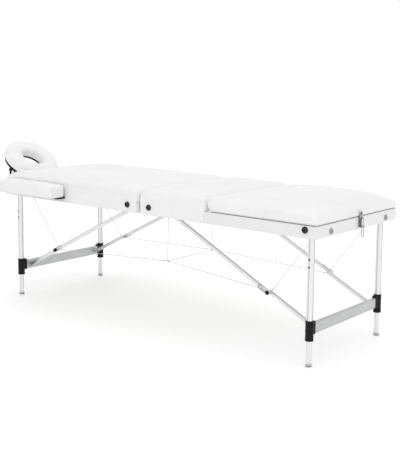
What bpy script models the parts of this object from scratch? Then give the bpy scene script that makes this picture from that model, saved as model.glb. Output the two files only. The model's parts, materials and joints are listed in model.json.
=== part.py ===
"""Portable massage table: a folding aluminium couch in three padded sections.

Metres, +Z up, floor at Z = 0. The face rest is at the -X end, the foot end at +X, and the
long side with the four suitcase feet faces -Y. Every moving group hangs from an empty that
stands on its joint's axis.
"""

import math

import bmesh
import bpy
from mathutils import Vector

# ---- driving dimensions -------------------------------------------------------------
HALF_LENGTH = 0.930       # fold line to the end of a half
WIDTH = 0.660             # over the side rails
RAIL_BOTTOM = 0.520       # underside of the rails above the floor, legs at their shortest
RAIL_HEIGHT = 0.050
RAIL_WALL = 0.022         # thickness of a rail, seen from above
PAD_THICKNESS = 0.060
CORNER_RADIUS = 0.016     # plan radius of the frame's corners
FOLD_GAP = 0.0035         # half of the gap between the two halves
GAP = 0.0003              # between pieces that touch
RUNNING = 0.0004          # between pieces that slide or turn on each other
BACKREST_START = 0.3865   # where the tilting section begins
BOARD_THICKNESS = 0.008

LEG_INSET = 0.054         # leg centre line from the end of the half
LEG_AXIS_RISE = 0.018     # leg axis above the rails' underside
LEG_OUTER_RADIUS = 0.0140
TUBE_WALL = 0.0016
AXLE_RADIUS = 0.0045
CLAMP_BOTTOM = 0.104
CLAMP_TOP = 0.186
CLAMP_WALL = 0.0025       # plastic around the outer leg tube
LEG_TRAVEL = 0.240        # how far a leg draws out
FOOT_HEIGHT = 0.012

CROSSBAR_BOTTOM = 0.128
CROSSBAR_HEIGHT = 0.045
CROSSBAR_THICKNESS = 0.016
STRUT_DEPTH = 0.016
STRUT_THICKNESS = 0.010
STRUT_ROOT_X = 0.050      # upper links' pivots from the fold line
PIVOT_RADIUS = 0.0035
LUG_THICKNESS = 0.005

CABLE_RADIUS = 0.0012
CABLE_DROP = 0.235        # middle junctions below the rails' undersides
JUNCTION_X = 0.030
JUNCTION_INSET = 0.048    # junctions nearer the middle plane than the knuckles
DROP_INSET = 0.020        # the drop wires' tops nearer still

ARMREST_INSET = 0.070     # armrest's outer end from the end of the head half
ARMREST_LENGTH = 0.390
ARMREST_WIDTH = 0.100
ARMREST_DROP = 0.024      # armrest pads below the table's own pads
ARMREST_PLATE = 0.0060    # thickness of the plate on an armrest's inner side
PEG_RADIUS = 0.005
PEG_REACH = 0.078         # how deep the armrest pegs sit in the frame
CRADLE_ROD_RADIUS = 0.006
CRADLE_ROD_Y = 0.100
CRADLE_ROD_INSERT = 0.190
CRADLE_REACH = 0.223      # cradle's crosspiece beyond the end of the head half
CRADLE_TILT = math.radians(32)
CUSHION_HALF_WIDTH = 0.145
CUSHION_HALF_LENGTH = 0.150
CUSHION_RING = 0.088      # width of the padded ring
CUSHION_THICKNESS = 0.066
KNOB_RADIUS = 0.0135
KNOB_HEIGHT = 0.011

# ---- places that follow from them ------------------------------------------------------
RAIL_TOP = RAIL_BOTTOM + RAIL_HEIGHT
PAD_BOTTOM = RAIL_TOP + 2 * GAP
PAD_TOP = RAIL_TOP + PAD_THICKNESS
SIDE = WIDTH / 2
RAIL_INNER = SIDE - RAIL_WALL
QUADRANT_Y = (RAIL_INNER - 0.0150, RAIL_INNER - 0.0105)
LEG_INNER_RADIUS = LEG_OUTER_RADIUS - TUBE_WALL - 2 * GAP
CLAMP_RADIUS = LEG_OUTER_RADIUS + CLAMP_WALL
LEG_X = HALF_LENGTH - LEG_INSET
LEG_Y = QUADRANT_Y[0] - CLAMP_RADIUS - 0.0015
STRUT_OUTER_Y = LEG_Y - CLAMP_RADIUS - 0.0130
LEG_AXIS_Z = RAIL_BOTTOM + LEG_AXIS_RISE
CROSSBAR_MIDDLE = CROSSBAR_BOTTOM + CROSSBAR_HEIGHT / 2
STRUT_FOOT_X = LEG_X - CROSSBAR_THICKNESS / 2 - STRUT_DEPTH / 2 - 0.0015
STRUT_FOOT_Z = CROSSBAR_MIDDLE
STRUT_ROOT_Z = LEG_AXIS_Z + LEG_X - STRUT_FOOT_X
STRUT_SPAN = math.hypot(STRUT_FOOT_X - STRUT_ROOT_X, STRUT_ROOT_Z - STRUT_FOOT_Z)
STRUT_FOLDED_SPAN = LEG_X - (LEG_AXIS_Z - STRUT_FOOT_Z) - STRUT_ROOT_X
UPPER_LINK = (STRUT_SPAN + STRUT_FOLDED_SPAN) / 2
KNUCKLE_X = STRUT_ROOT_X + UPPER_LINK * (STRUT_FOOT_X - STRUT_ROOT_X) / STRUT_SPAN
KNUCKLE_Z = STRUT_ROOT_Z - UPPER_LINK * (STRUT_ROOT_Z - STRUT_FOOT_Z) / STRUT_SPAN
UPPER_Y = (STRUT_OUTER_Y - STRUT_THICKNESS, STRUT_OUTER_Y)
LOWER_Y = (UPPER_Y[0] - 0.0015 - STRUT_THICKNESS, UPPER_Y[0] - 0.0015)
TILT_RADIUS = (PAD_TOP - PAD_BOTTOM) / 2
TILT_X = BACKREST_START + TILT_RADIUS
TILT_Z = PAD_BOTTOM + TILT_RADIUS
CABLE_Y = LOWER_Y[0] - 0.0015 - LUG_THICKNESS + 0.0004
JUNCTION = (JUNCTION_X, CABLE_Y - JUNCTION_INSET, RAIL_BOTTOM - CABLE_DROP)
DROP_Y = JUNCTION[1] - DROP_INSET
CRADLE_ROD_Z = LEG_AXIS_Z + AXLE_RADIUS + CRADLE_ROD_RADIUS + 0.0040
CRADLE_END_X = -HALF_LENGTH - CRADLE_REACH
ARMREST_X = (ARMREST_INSET - HALF_LENGTH, ARMREST_INSET + ARMREST_LENGTH - HALF_LENGTH)
CRADLE_PIVOT = (CRADLE_END_X, 0.0, RAIL_TOP + 0.038)
PEG_Z = RAIL_TOP - 0.0095

MATERIALS = {}
GROUPS = {}


def material(name, color, roughness, metallic=0.0):
    """Return the named finish, made once."""
    if name not in MATERIALS:
        made = bpy.data.materials.new(name)
        made.use_nodes = True
        shader = made.node_tree.nodes["Principled BSDF"]
        shader.inputs["Base Color"].default_value = (*color, 1.0)
        shader.inputs["Roughness"].default_value = roughness
        shader.inputs["Metallic"].default_value = metallic
        MATERIALS[name] = made
    return MATERIALS[name]


def vinyl(name):
    return material(name, (0.86, 0.86, 0.85), 0.45)


def white_paint(name):
    return material(name, (0.88, 0.88, 0.88), 0.35)


def aluminium(name):
    return material(name, (0.80, 0.81, 0.82), 0.32, 1.0)


def steel(name):
    return material(name, (0.62, 0.63, 0.64), 0.28, 1.0)


def black_plastic(name):
    return material(name, (0.02, 0.02, 0.02), 0.45)


def pivot(name, place, parent=None):
    """An empty on a joint's axis, which the moving pieces hang from."""
    empty = bpy.data.objects.new(f"{name}_axis", None)
    empty.empty_display_size = 0.05
    bpy.context.scene.collection.objects.link(empty)
    above = GROUPS[parent] if parent else Vector((0, 0, 0))
    empty.location = Vector(place) - above
    if parent:
        empty.parent = bpy.data.objects[f"{parent}_axis"]
    GROUPS[name] = Vector(place)


def piece(name, mesh_data, finish, group, bevel=0.0, segments=2, smooth=True):
    """Turn a bmesh in world metres into a named object whose origin is its group's axis."""
    bmesh.ops.recalc_face_normals(mesh_data, faces=mesh_data.faces)
    bmesh.ops.translate(mesh_data, verts=mesh_data.verts, vec=-GROUPS[group])
    mesh = bpy.data.meshes.new(name)
    mesh_data.to_mesh(mesh)
    mesh_data.free()
    mesh.materials.append(finish)
    if smooth:
        mesh.shade_smooth()
        mesh.set_sharp_from_angle(angle=math.radians(35))
    made = bpy.data.objects.new(name, mesh)
    bpy.context.scene.collection.objects.link(made)
    made.parent = bpy.data.objects[f"{group}_axis"]
    if bevel:
        edge = made.modifiers.new("rounded_edges", "BEVEL")
        edge.width = bevel
        edge.segments = segments
        edge.limit_method = "ANGLE"
        edge.angle_limit = math.radians(50)
    return made


def combine(target, mesh_data, operation, label):
    """Join or cut a helper shape, given in world metres, into or out of a piece."""
    helper = piece(target.name + "_" + label, mesh_data, target.data.materials[0], "couch")
    helper.hide_render = True
    helper.display_type = "WIRE"
    change = target.modifiers.new(label, "BOOLEAN")
    change.operation = operation
    change.object = helper
    return target


def box(low, high, shape=None):
    """A block between two corners."""
    shape = shape or bmesh.new()
    made = bmesh.ops.create_cube(shape, size=1.0)
    size = [high[i] - low[i] for i in range(3)]
    middle = [(high[i] + low[i]) / 2 for i in range(3)]
    bmesh.ops.scale(shape, verts=made["verts"], vec=size)
    bmesh.ops.translate(shape, verts=made["verts"], vec=middle)
    return shape


def turned(profile, start, direction, sides=20, shape=None):
    """Turn a profile of (radius, distance) points round an axis.

    A profile whose radii are all above zero is a closed loop and makes a ring or a tube;
    one that starts and ends on the axis makes a solid of revolution.
    """
    shape = shape or bmesh.new()
    turn = Vector((0, 0, 1)).rotation_difference(Vector(direction)).to_matrix()
    rings = []
    for radius, distance in profile:
        count = sides if radius > 0 else 1
        ring = []
        for step in range(count):
            angle = 2 * math.pi * (step + 0.5) / sides
            local = Vector((radius * math.cos(angle), radius * math.sin(angle), distance))
            ring.append(shape.verts.new(turn @ local + Vector(start)))
        rings.append(ring)
    closed = all(radius > 0 for radius, _ in profile)
    pairs = list(zip(rings, rings[1:])) + ([(rings[-1], rings[0])] if closed else [])
    for first, second in pairs:
        for step in range(sides):
            corners = [first[step % len(first)], first[(step + 1) % len(first)],
                       second[(step + 1) % len(second)], second[step % len(second)]]
            shape.faces.new(list(dict.fromkeys(corners)))
    return shape


def rod(start, end, radius, sides=16, shape=None):
    """A solid round bar between two points."""
    way = Vector(end) - Vector(start)
    profile = [(0, 0), (radius, 0), (radius, way.length), (0, way.length)]
    return turned(profile, start, way.normalized(), sides, shape)


def tube(start, end, outer, inner, sides=24, shape=None):
    """A round tube between two points."""
    way = Vector(end) - Vector(start)
    profile = [(outer, 0), (outer, way.length), (inner, way.length), (inner, 0)]
    return turned(profile, start, way.normalized(), sides, shape)


def prism(outline, y_low, y_high, shape=None):
    """A flat plate whose (x, z) outline stands between two Y values."""
    shape = shape or bmesh.new()
    near = [shape.verts.new((x, y_low, z)) for x, z in outline]
    far = [shape.verts.new((x, y_high, z)) for x, z in outline]
    shape.faces.new(near)
    shape.faces.new(far[::-1])
    for i in range(len(outline)):
        after = (i + 1) % len(outline)
        shape.faces.new((near[i], near[after], far[after], far[i]))
    return shape


def rounded_rectangle(x_low, x_high, y_low, y_high, radius, steps=4):
    """Corner points of a rectangle in plan, its corners drawn as arcs."""
    points = []
    corners = ((x_high, y_high, 0), (x_low, y_high, 90), (x_low, y_low, 180), (x_high, y_low, 270))
    for x, y, begin in corners:
        centre_x = x - math.copysign(radius, x - (x_low + x_high) / 2)
        centre_y = y - math.copysign(radius, y - (y_low + y_high) / 2)
        for step in range(steps + 1):
            angle = math.radians(begin + 90 * step / steps)
            points.append((centre_x + radius * math.cos(angle), centre_y + radius * math.sin(angle)))
    return points


def loops(outlines, ring=False):
    """Skin a stack of equal outlines, each [(x, y, z), ...]; a ring joins last to first."""
    shape = bmesh.new()
    made = [[shape.verts.new(point) for point in outline] for outline in outlines]
    pairs = list(zip(made, made[1:])) + ([(made[-1], made[0])] if ring else [])
    for first, second in pairs:
        for i in range(len(first)):
            after = (i + 1) % len(first)
            shape.faces.new((first[i], first[after], second[after], second[i]))
    if not ring:
        shape.faces.new(made[0][::-1])
        shape.faces.new(made[-1])
    return shape


def slab(x_low, x_high, y_low, y_high, z_low, z_high, radius):
    """A flat block with rounded corners in plan."""
    plan = rounded_rectangle(x_low, x_high, y_low, y_high, radius)
    return loops([[(x, y, z) for x, y in plan] for z in (z_low, z_high)])


def both_sides(names=("near", "far")):
    return zip(names, (-1, 1))


def y_band(side, band):
    """Order a pair of distances from the middle plane for the near or the far side."""
    return sorted((side * band[0], side * band[1]))


# ---- the two halves' frames and pads ---------------------------------------------------------
def make_frame(end, group):
    """The rail ring of one half, with the lugs and pins that its brace links turn on."""
    x_low, x_high = sorted((end * FOLD_GAP, end * HALF_LENGTH))
    outer = rounded_rectangle(x_low, x_high, -SIDE, SIDE, CORNER_RADIUS)
    inner = rounded_rectangle(x_low + RAIL_WALL, x_high - RAIL_WALL, -RAIL_INNER, RAIL_INNER, 0.004)
    stack = [[(x, y, z) for x, y in plan] for plan, z in
             ((outer, RAIL_BOTTOM), (outer, RAIL_TOP), (inner, RAIL_TOP), (inner, RAIL_BOTTOM))]
    name = "seat_frame" if end > 0 else "head_frame"
    frame = piece(name, loops(stack, ring=True), white_paint("rail_white"), group, bevel=0.0025)
    rail_face = FOLD_GAP + RAIL_WALL - 0.002
    lugs = bmesh.new()
    pins = bmesh.new()
    for side in (-1, 1):
        low, high = y_band(side, (STRUT_OUTER_Y + 0.0015, STRUT_OUTER_Y + 0.0015 + LUG_THICKNESS))
        x_ends = sorted((end * rail_face, end * (STRUT_ROOT_X + 0.010)))
        box((x_ends[0], low, STRUT_ROOT_Z - 0.012), (x_ends[1], high, RAIL_TOP - 0.001), lugs)
        pin_start = (end * STRUT_ROOT_X, side * (STRUT_OUTER_Y + 0.004), STRUT_ROOT_Z)
        pin_end = (end * STRUT_ROOT_X, side * (UPPER_Y[0] - 0.0008), STRUT_ROOT_Z)
        rod(pin_start, pin_end, PIVOT_RADIUS, 12, pins)
    combine(frame, lugs, "UNION", "brace_lugs")
    combine(frame, pins, "UNION", "brace_pins")
    return frame


def make_head_bores(frame):
    """Bores in the head half's rails for the armrest pegs and the face cradle's rods."""
    bores = bmesh.new()
    for side in (-1, 1):
        for x in peg_places():
            rod((x, side * (RAIL_INNER - 0.01), PEG_Z), (x, side * (SIDE + 0.01), PEG_Z),
                PEG_RADIUS + RUNNING, 16, bores)
        rod((-HALF_LENGTH - 0.01, side * CRADLE_ROD_Y, CRADLE_ROD_Z),
            (-HALF_LENGTH + RAIL_WALL + 0.01, side * CRADLE_ROD_Y, CRADLE_ROD_Z),
            CRADLE_ROD_RADIUS + RUNNING, 16, bores)
    combine(frame, bores, "DIFFERENCE", "bores")


def peg_places():
    return (ARMREST_X[0] + 0.070, ARMREST_X[1] - 0.070)


def make_pads():
    finish = vinyl("white_vinyl")
    seat = slab(FOLD_GAP, BACKREST_START - 0.003, -SIDE, SIDE, PAD_BOTTOM, PAD_TOP, 0.012)
    piece("seat_pad", seat, finish, "couch", bevel=0.010, segments=3)
    head = slab(-HALF_LENGTH, -FOLD_GAP, -SIDE, SIDE, PAD_BOTTOM, PAD_TOP, 0.014)
    piece("head_pad", head, finish, "head_half", bevel=0.010, segments=3)


def make_backrest():
    """The tilting section: its pad has a round nose centred on the tilt axis."""
    nose = []
    for step in range(13):
        angle = math.radians(90 + 15 * step)
        nose.append((TILT_X + TILT_RADIUS * math.cos(angle), TILT_Z + TILT_RADIUS * math.sin(angle)))
    board_x = TILT_X + 0.002
    board_top = PAD_BOTTOM + BOARD_THICKNESS
    outline = nose + [(board_x - GAP, PAD_BOTTOM), (board_x - GAP, board_top + GAP),
                      (HALF_LENGTH - 0.004, board_top + GAP), (HALF_LENGTH, board_top + 0.006),
                      (HALF_LENGTH, PAD_TOP - 0.012), (HALF_LENGTH - 0.012, PAD_TOP)]
    piece("backrest_pad", prism(outline, -SIDE, SIDE), vinyl("white_vinyl"), "backrest")
    board = box((board_x, -SIDE + 0.008, PAD_BOTTOM), (HALF_LENGTH - 0.008, SIDE - 0.008, board_top))
    wood = material("plywood", (0.62, 0.45, 0.28), 0.6)
    piece("backrest_board", board, wood, "backrest")


def make_ratchets():
    """Curved ratchet quadrants that guide the backrest about its tilt axis, and their housings."""
    outer = TILT_Z - RAIL_BOTTOM - 0.0038
    inner = outer - 0.0115
    foot_bottom = board_underside = PAD_BOTTOM - GAP - TILT_Z
    foot_bottom -= 0.0055
    join = math.asin(foot_bottom / outer)
    last = math.radians(-104)
    steps = 14
    outline = []
    for step in range(steps + 1):
        angle = last + (join - last) * step / steps
        outline.append((outer * math.cos(angle), outer * math.sin(angle)))
    outline += [(0.115, foot_bottom), (0.115, board_underside), (0.057, board_underside)]
    first = math.asin(foot_bottom / inner)
    for tooth in range(10):
        top = first + (last - first) * tooth / 10
        low = first + (last - first) * (tooth + 0.8) / 10
        outline.append((inner * math.cos(top), inner * math.sin(top)))
        outline.append(((inner + 0.003) * math.cos(low), (inner + 0.003) * math.sin(low)))
    outline = [(x + TILT_X, z + TILT_Z) for x, z in outline]
    for name, side in both_sides():
        low, high = y_band(side, QUADRANT_Y)
        piece(f"ratchet_quadrant_{name}", prism(outline, low, high), steel("ratchet_steel"), "backrest",
              smooth=False)
        low, high = y_band(side, (QUADRANT_Y[1] + 0.001, RAIL_INNER - GAP))
        housing = box((TILT_X + 0.022, low, RAIL_BOTTOM + 0.008), (TILT_X + 0.070, high, RAIL_TOP - 0.006))
        piece(f"ratchet_housing_{name}", housing, steel("ratchet_steel"), "couch", bevel=0.002, segments=1)


def make_fold_hinge():
    """Piano hinge at the rails' undersides: two leaves with alternate knuckles."""
    knuckle = 0.0030
    face = 0.0020
    pitch = 0.0600
    count = 9
    start = -pitch * count / 2
    for name, end, group in (("seat_hinge_leaf", 1, "couch"), ("head_hinge_leaf", -1, "head_half")):
        x_low, x_high = sorted((end * face, end * (FOLD_GAP - GAP)))
        leaf = piece(name, box((x_low, start, RAIL_BOTTOM + 0.0042), (x_high, -start, RAIL_TOP - 0.008)),
                     steel("hinge_steel"), group, smooth=False)
        tabs = bmesh.new()
        barrels = bmesh.new()
        for index in range(0 if end > 0 else 1, count, 2):
            low = start + pitch * index + RUNNING
            high = start + pitch * (index + 1) - RUNNING
            tab_face = sorted((end * (face + 0.0001), end * (FOLD_GAP - GAP - 0.0001)))
            box((tab_face[0], low, RAIL_BOTTOM - 0.0002), (tab_face[1], high, RAIL_BOTTOM + 0.006), tabs)
            rod((0, low - 0.0001, RAIL_BOTTOM), (0, high + 0.0001, RAIL_BOTTOM), knuckle, 12, barrels)
        combine(leaf, tabs, "UNION", "tabs")
        combine(leaf, barrels, "UNION", "barrels")


# ---- legs and braces --------------------------------------------------------------------------
def make_legs(place, end):
    group = f"{place}_legs"
    x = end * LEG_X
    for name, side in both_sides():
        y = side * LEG_Y
        tag = f"{place}_{name}"
        tube_bottom = (CLAMP_BOTTOM + CLAMP_TOP) / 2
        inner_wall = LEG_OUTER_RADIUS - TUBE_WALL
        leg = piece(f"leg_tube_{tag}", tube((x, y, tube_bottom), (x, y, LEG_AXIS_Z + 0.010),
                    LEG_OUTER_RADIUS, inner_wall), aluminium("leg_aluminium"), group)
        hole = rod((x, y - 0.03, LEG_AXIS_Z), (x, y + 0.03, LEG_AXIS_Z), AXLE_RADIUS + RUNNING, 12)
        combine(leg, hole, "DIFFERENCE", "axle_hole")
        upper_bore = LEG_OUTER_RADIUS + GAP
        lower_bore = LEG_INNER_RADIUS + RUNNING
        height = CLAMP_TOP - CLAMP_BOTTOM
        step = tube_bottom - GAP - CLAMP_BOTTOM
        profile = [(CLAMP_RADIUS - 0.0015, 0), (CLAMP_RADIUS, 0.003), (CLAMP_RADIUS, height - 0.004),
                   (CLAMP_RADIUS - 0.001, height), (upper_bore, height), (upper_bore, step),
                   (lower_bore, step), (lower_bore, 0)]
        clamp = piece(f"leg_clamp_{tag}", turned(profile, (x, y, CLAMP_BOTTOM), (0, 0, 1), 24),
                      black_plastic("black_clamp"), group)
        low, high = y_band(side, (STRUT_OUTER_Y + 0.0025, LEG_Y - upper_bore - 0.0008))
        socket = box((x - 0.0115, low, CROSSBAR_BOTTOM), (x + 0.0115, high, CLAMP_TOP - 0.005))
        combine(clamp, socket, "UNION", "socket")
        extension = f"leg_extension_{tag}"
        pivot(extension, (x, y, CLAMP_BOTTOM), group)
        inner_top = tube_bottom + LEG_TRAVEL + 0.050
        piece(f"leg_inner_tube_{tag}", tube((x, y, FOOT_HEIGHT + GAP), (x, y, inner_top), LEG_INNER_RADIUS,
              LEG_INNER_RADIUS - TUBE_WALL), aluminium("leg_aluminium"), extension)
        foot = turned([(0, 0), (LEG_INNER_RADIUS - 0.001, 0), (LEG_INNER_RADIUS + 0.0004, 0.002),
                       (LEG_INNER_RADIUS + 0.0004, FOOT_HEIGHT), (0, FOOT_HEIGHT)], (x, y, 0), (0, 0, 1), 24)
        piece(f"leg_foot_{tag}", foot, material("grey_rubber", (0.22, 0.22, 0.23), 0.7), extension)


def make_crossbar(place, end):
    """The flat bar between two clamps, with lugs and pins for the lower brace links."""
    x = end * LEG_X
    half = CROSSBAR_THICKNESS / 2
    reach = STRUT_OUTER_Y + 0.0022
    bar = piece(f"{place}_crossbar", box((x - half, -reach, CROSSBAR_BOTTOM),
                (x + half, reach, CROSSBAR_BOTTOM + CROSSBAR_HEIGHT)),
                aluminium("crossbar_aluminium"), f"{place}_legs", bevel=0.002)
    lugs = bmesh.new()
    pins = bmesh.new()
    for side in (-1, 1):
        low, high = y_band(side, (LOWER_Y[0] - 0.0015 - LUG_THICKNESS, LOWER_Y[0] - 0.0015))
        x_ends = sorted((x - end * (half - 0.002), end * (STRUT_FOOT_X - 0.008)))
        box((x_ends[0], low, STRUT_FOOT_Z - 0.009), (x_ends[1], high, STRUT_FOOT_Z + 0.009), lugs)
        rod((end * STRUT_FOOT_X, side * (LOWER_Y[0] - 0.004), STRUT_FOOT_Z),
            (end * STRUT_FOOT_X, side * (LOWER_Y[1] + 0.0006), STRUT_FOOT_Z), PIVOT_RADIUS, 12, pins)
    combine(bar, lugs, "UNION", "lugs")
    combine(bar, pins, "UNION", "pins")


def link(name, start, end, band, side, group):
    """A flat brace bar with round ends; its first end has the eye for the pivot pin."""
    radius = STRUT_DEPTH / 2
    way = math.atan2(end[1] - start[1], end[0] - start[0])
    outline = []
    for centre, begin in ((start, way + math.pi / 2), (end, way - math.pi / 2)):
        for step in range(9):
            angle = begin + math.pi * step / 8
            outline.append((centre[0] + radius * math.cos(angle), centre[1] + radius * math.sin(angle)))
    low, high = y_band(side, band)
    bar = piece(name, prism(outline, low, high), aluminium("brace_aluminium"), group)
    eye = rod((start[0], low - 0.01, start[1]), (start[0], high + 0.01, start[1]), PIVOT_RADIUS + RUNNING, 12)
    combine(bar, eye, "DIFFERENCE", "eye")


def make_braces(place, end):
    root = (end * STRUT_ROOT_X, STRUT_ROOT_Z)
    knuckle = (end * KNUCKLE_X, KNUCKLE_Z)
    foot = (end * STRUT_FOOT_X, STRUT_FOOT_Z)
    for name, side in both_sides():
        link(f"brace_upper_{place}_{name}", root, knuckle, UPPER_Y, side, f"{place}_brace_upper")
        link(f"brace_lower_{place}_{name}", foot, knuckle, LOWER_Y, side, f"{place}_brace_lower")


def wire(name, points, group):
    """A steel cable through the given points."""
    curve = bpy.data.curves.new(name, "CURVE")
    curve.dimensions = "3D"
    curve.bevel_depth = CABLE_RADIUS
    curve.bevel_resolution = 2
    curve.use_fill_caps = True
    curve.render_resolution_u = 0
    line = curve.splines.new("POLY")
    line.points.add(len(points) - 1)
    for target, point in zip(line.points, points):
        target.co = (*(Vector(point) - GROUPS[group]), 1.0)
    curve.materials.append(steel("cable_steel"))
    cable = bpy.data.objects.new(name, curve)
    bpy.context.scene.collection.objects.link(cable)
    cable.parent = bpy.data.objects[f"{group}_axis"]


def make_cables():
    """The bracing wires: from each leg axle to its knuckle and on to the middle junctions."""
    reach = Vector((KNUCKLE_X - LEG_X, KNUCKLE_Z - LEG_AXIS_Z)).normalized()
    stand_off = AXLE_RADIUS + CABLE_RADIUS + GAP
    end_x = LEG_X + reach.x * stand_off
    end_z = LEG_AXIS_Z + reach.y * stand_off
    middle_x, middle_y, middle_z = JUNCTION
    for name, side in both_sides():
        y = side * CABLE_Y
        points = [(-end_x, y, end_z), (-KNUCKLE_X, y, KNUCKLE_Z), (middle_x, side * middle_y, middle_z),
                  (KNUCKLE_X, y, KNUCKLE_Z), (end_x, y, end_z)]
        wire(f"brace_cable_{name}", points, "couch")
    inside = middle_y - 2 * CABLE_RADIUS - GAP
    top = RAIL_BOTTOM - GAP
    wire("centre_cable", [(middle_x - 0.012, -DROP_Y, top), (middle_x, -inside, middle_z),
                          (middle_x, inside, middle_z), (middle_x - 0.012, DROP_Y, top)], "couch")


# ---- fittings -------------------------------------------------------------------------------------
def make_latch():
    face = HALF_LENGTH + GAP
    chrome = material("chrome_plate", (0.75, 0.76, 0.78), 0.12, 1.0)
    plate = box((face, -0.013, RAIL_BOTTOM + 0.004), (face + 0.0015, 0.013, RAIL_TOP - 0.002))
    piece("latch_plate", plate, chrome, "couch", smooth=False)
    outline = [(face + 0.0018, RAIL_BOTTOM + 0.008), (face + 0.0100, RAIL_BOTTOM + 0.010),
               (face + 0.0115, RAIL_BOTTOM + 0.022), (face + 0.0075, RAIL_TOP - 0.004),
               (face + 0.0018, RAIL_TOP - 0.002)]
    piece("latch_lever", prism(outline, -0.009, 0.009), steel("latch_steel"), "couch", bevel=0.001, segments=1)
    ring_x = face + 0.0145
    top = RAIL_BOTTOM + 0.014
    half = 0.0085
    bend = 0.0050
    bail = bmesh.new()
    corners = [(-half, top), (-half, top - 0.045 + bend), (-half + bend, top - 0.045),
               (half - bend, top - 0.045), (half, top - 0.045 + bend), (half, top)]
    sweep(bail, [Vector((ring_x, y, z)) for y, z in corners], 0.0014, 8)
    piece("latch_bail", bail, chrome, "latch_bail")
    catch = box((-face - 0.0015, -0.012, RAIL_BOTTOM + 0.008), (-face, 0.012, RAIL_TOP - 0.008))
    hook = piece("latch_catch", catch, chrome, "head_half", smooth=False)
    lip = box((-face - 0.008, -0.008, RAIL_BOTTOM + 0.020), (-face - 0.001, 0.008, RAIL_BOTTOM + 0.026))
    combine(hook, lip, "UNION", "lip")


def sweep(shape, points, radius, sides):
    """A closed round wire loop through the points, each ring turned half-way at its corner."""
    count = len(points)
    rings = []
    for i, point in enumerate(points):
        before = (point - points[i - 1]).normalized()
        after = (points[(i + 1) % count] - point).normalized()
        tangent = (before + after).normalized()
        normal = Vector((1, 0, 0))
        second = tangent.cross(normal)
        stretch = 1 / max(0.5, before.dot(tangent))
        ring = []
        for step in range(sides):
            angle = 2 * math.pi * step / sides
            offset = normal * math.cos(angle) + second * math.sin(angle) * stretch
            ring.append(shape.verts.new(point + offset * radius))
        rings.append(ring)
    for i in range(count):
        first = rings[i]
        second = rings[(i + 1) % count]
        for step in range(sides):
            after = (step + 1) % sides
            shape.faces.new((first[step], first[after], second[after], second[step]))


def make_suitcase_feet():
    """Four domed rubber feet on the near side, which the folded case stands on."""
    z = RAIL_BOTTOM + 0.034
    profile = [(0, 0), (KNOB_RADIUS, 0), (KNOB_RADIUS, 0.004), (KNOB_RADIUS * 0.75, KNOB_HEIGHT - 0.002),
               (KNOB_RADIUS * 0.6, KNOB_HEIGHT), (0, KNOB_HEIGHT)]
    places = (("seat_inner", 0.065, "couch"), ("seat_outer", HALF_LENGTH - 0.050, "couch"),
              ("head_inner", -0.065, "head_half"), ("head_outer", 0.036 - HALF_LENGTH, "head_half"))
    for name, x, group in places:
        foot = turned(profile, (x, -SIDE - GAP, z), (0, -1, 0), 20)
        piece(f"suitcase_foot_{name}", foot, black_plastic("black_rubber"), group)


def make_handle():
    """A webbing carry handle on the far side of the seat half."""
    face = SIDE + GAP
    outline = [(0.10, 0), (0.155, 0), (0.175, 0.014), (0.285, 0.014), (0.305, 0), (0.36, 0),
               (0.36, 0.003), (0.307, 0.003), (0.287, 0.0175), (0.173, 0.0175), (0.153, 0.003), (0.10, 0.003)]
    shape = loops([[(x, face + y, z) for x, y in outline] for z in (RAIL_BOTTOM + 0.012, RAIL_BOTTOM + 0.038)])
    piece("carry_handle", shape, material("black_webbing", (0.03, 0.03, 0.03), 0.8), "couch", smooth=False)


def make_armrests():
    for name, side in both_sides():
        group = f"armrest_{name}"
        inner = SIDE + 0.0020
        bottom, top = PAD_BOTTOM - ARMREST_DROP, PAD_TOP - ARMREST_DROP
        low, high = y_band(side, (inner + ARMREST_PLATE + GAP, SIDE + 0.0015 + ARMREST_WIDTH))
        pad = slab(ARMREST_X[0], ARMREST_X[1], low, high, bottom, top, 0.012)
        piece(f"armrest_pad_{name}", pad, vinyl("white_vinyl"), group, bevel=0.010, segments=3)
        low, high = y_band(side, (inner, inner + ARMREST_PLATE))
        bracket = piece(f"armrest_bracket_{name}", box((ARMREST_X[0] + 0.015, low, bottom - 0.0065),
                        (ARMREST_X[1] - 0.006, high, top - 0.014)), black_plastic("black_board"), group)
        low, high = y_band(side, (inner, inner + 0.050))
        combine(bracket, box((ARMREST_X[0] + 0.015, low, bottom - 0.0065),
                             (ARMREST_X[1] - 0.006, high, bottom - GAP)), "UNION", "ledge")
        pegs = bmesh.new()
        for x in peg_places():
            rod((x, side * (SIDE - PEG_REACH), PEG_Z), (x, side * (SIDE + 0.005), PEG_Z), PEG_RADIUS, 16, pegs)
        combine(bracket, pegs, "UNION", "pegs")


def tilted(across, along, up):
    """A point on the face rest: along runs away from the table, up stands on the cushion."""
    x, y, z = CRADLE_PIVOT
    cos, sin = math.cos(CRADLE_TILT), math.sin(CRADLE_TILT)
    return (x - along * cos + up * sin, y + across, z + along * sin + up * cos)


def oval_ring(half_width, half_length, ring_width, low, high, roundness, group_sides=36, ring_sides=10):
    """An oval ring on the face rest, its section a rounded oblong between two heights."""
    sections = []
    for step in range(ring_sides):
        angle = 2 * math.pi * step / ring_sides
        cos, sin = math.cos(angle), math.sin(angle)
        across = math.copysign(abs(cos) ** roundness, cos) * ring_width / 2
        up = (low + high) / 2 + math.copysign(abs(sin) ** roundness, sin) * (high - low) / 2
        loop = []
        for turn in range(group_sides):
            way = 2 * math.pi * turn / group_sides
            loop.append(tilted((half_width - ring_width / 2 + across) * math.cos(way),
                               (half_length - ring_width / 2 + across) * math.sin(way), up))
        sections.append(loop)
    return loops(sections, ring=True)


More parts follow.
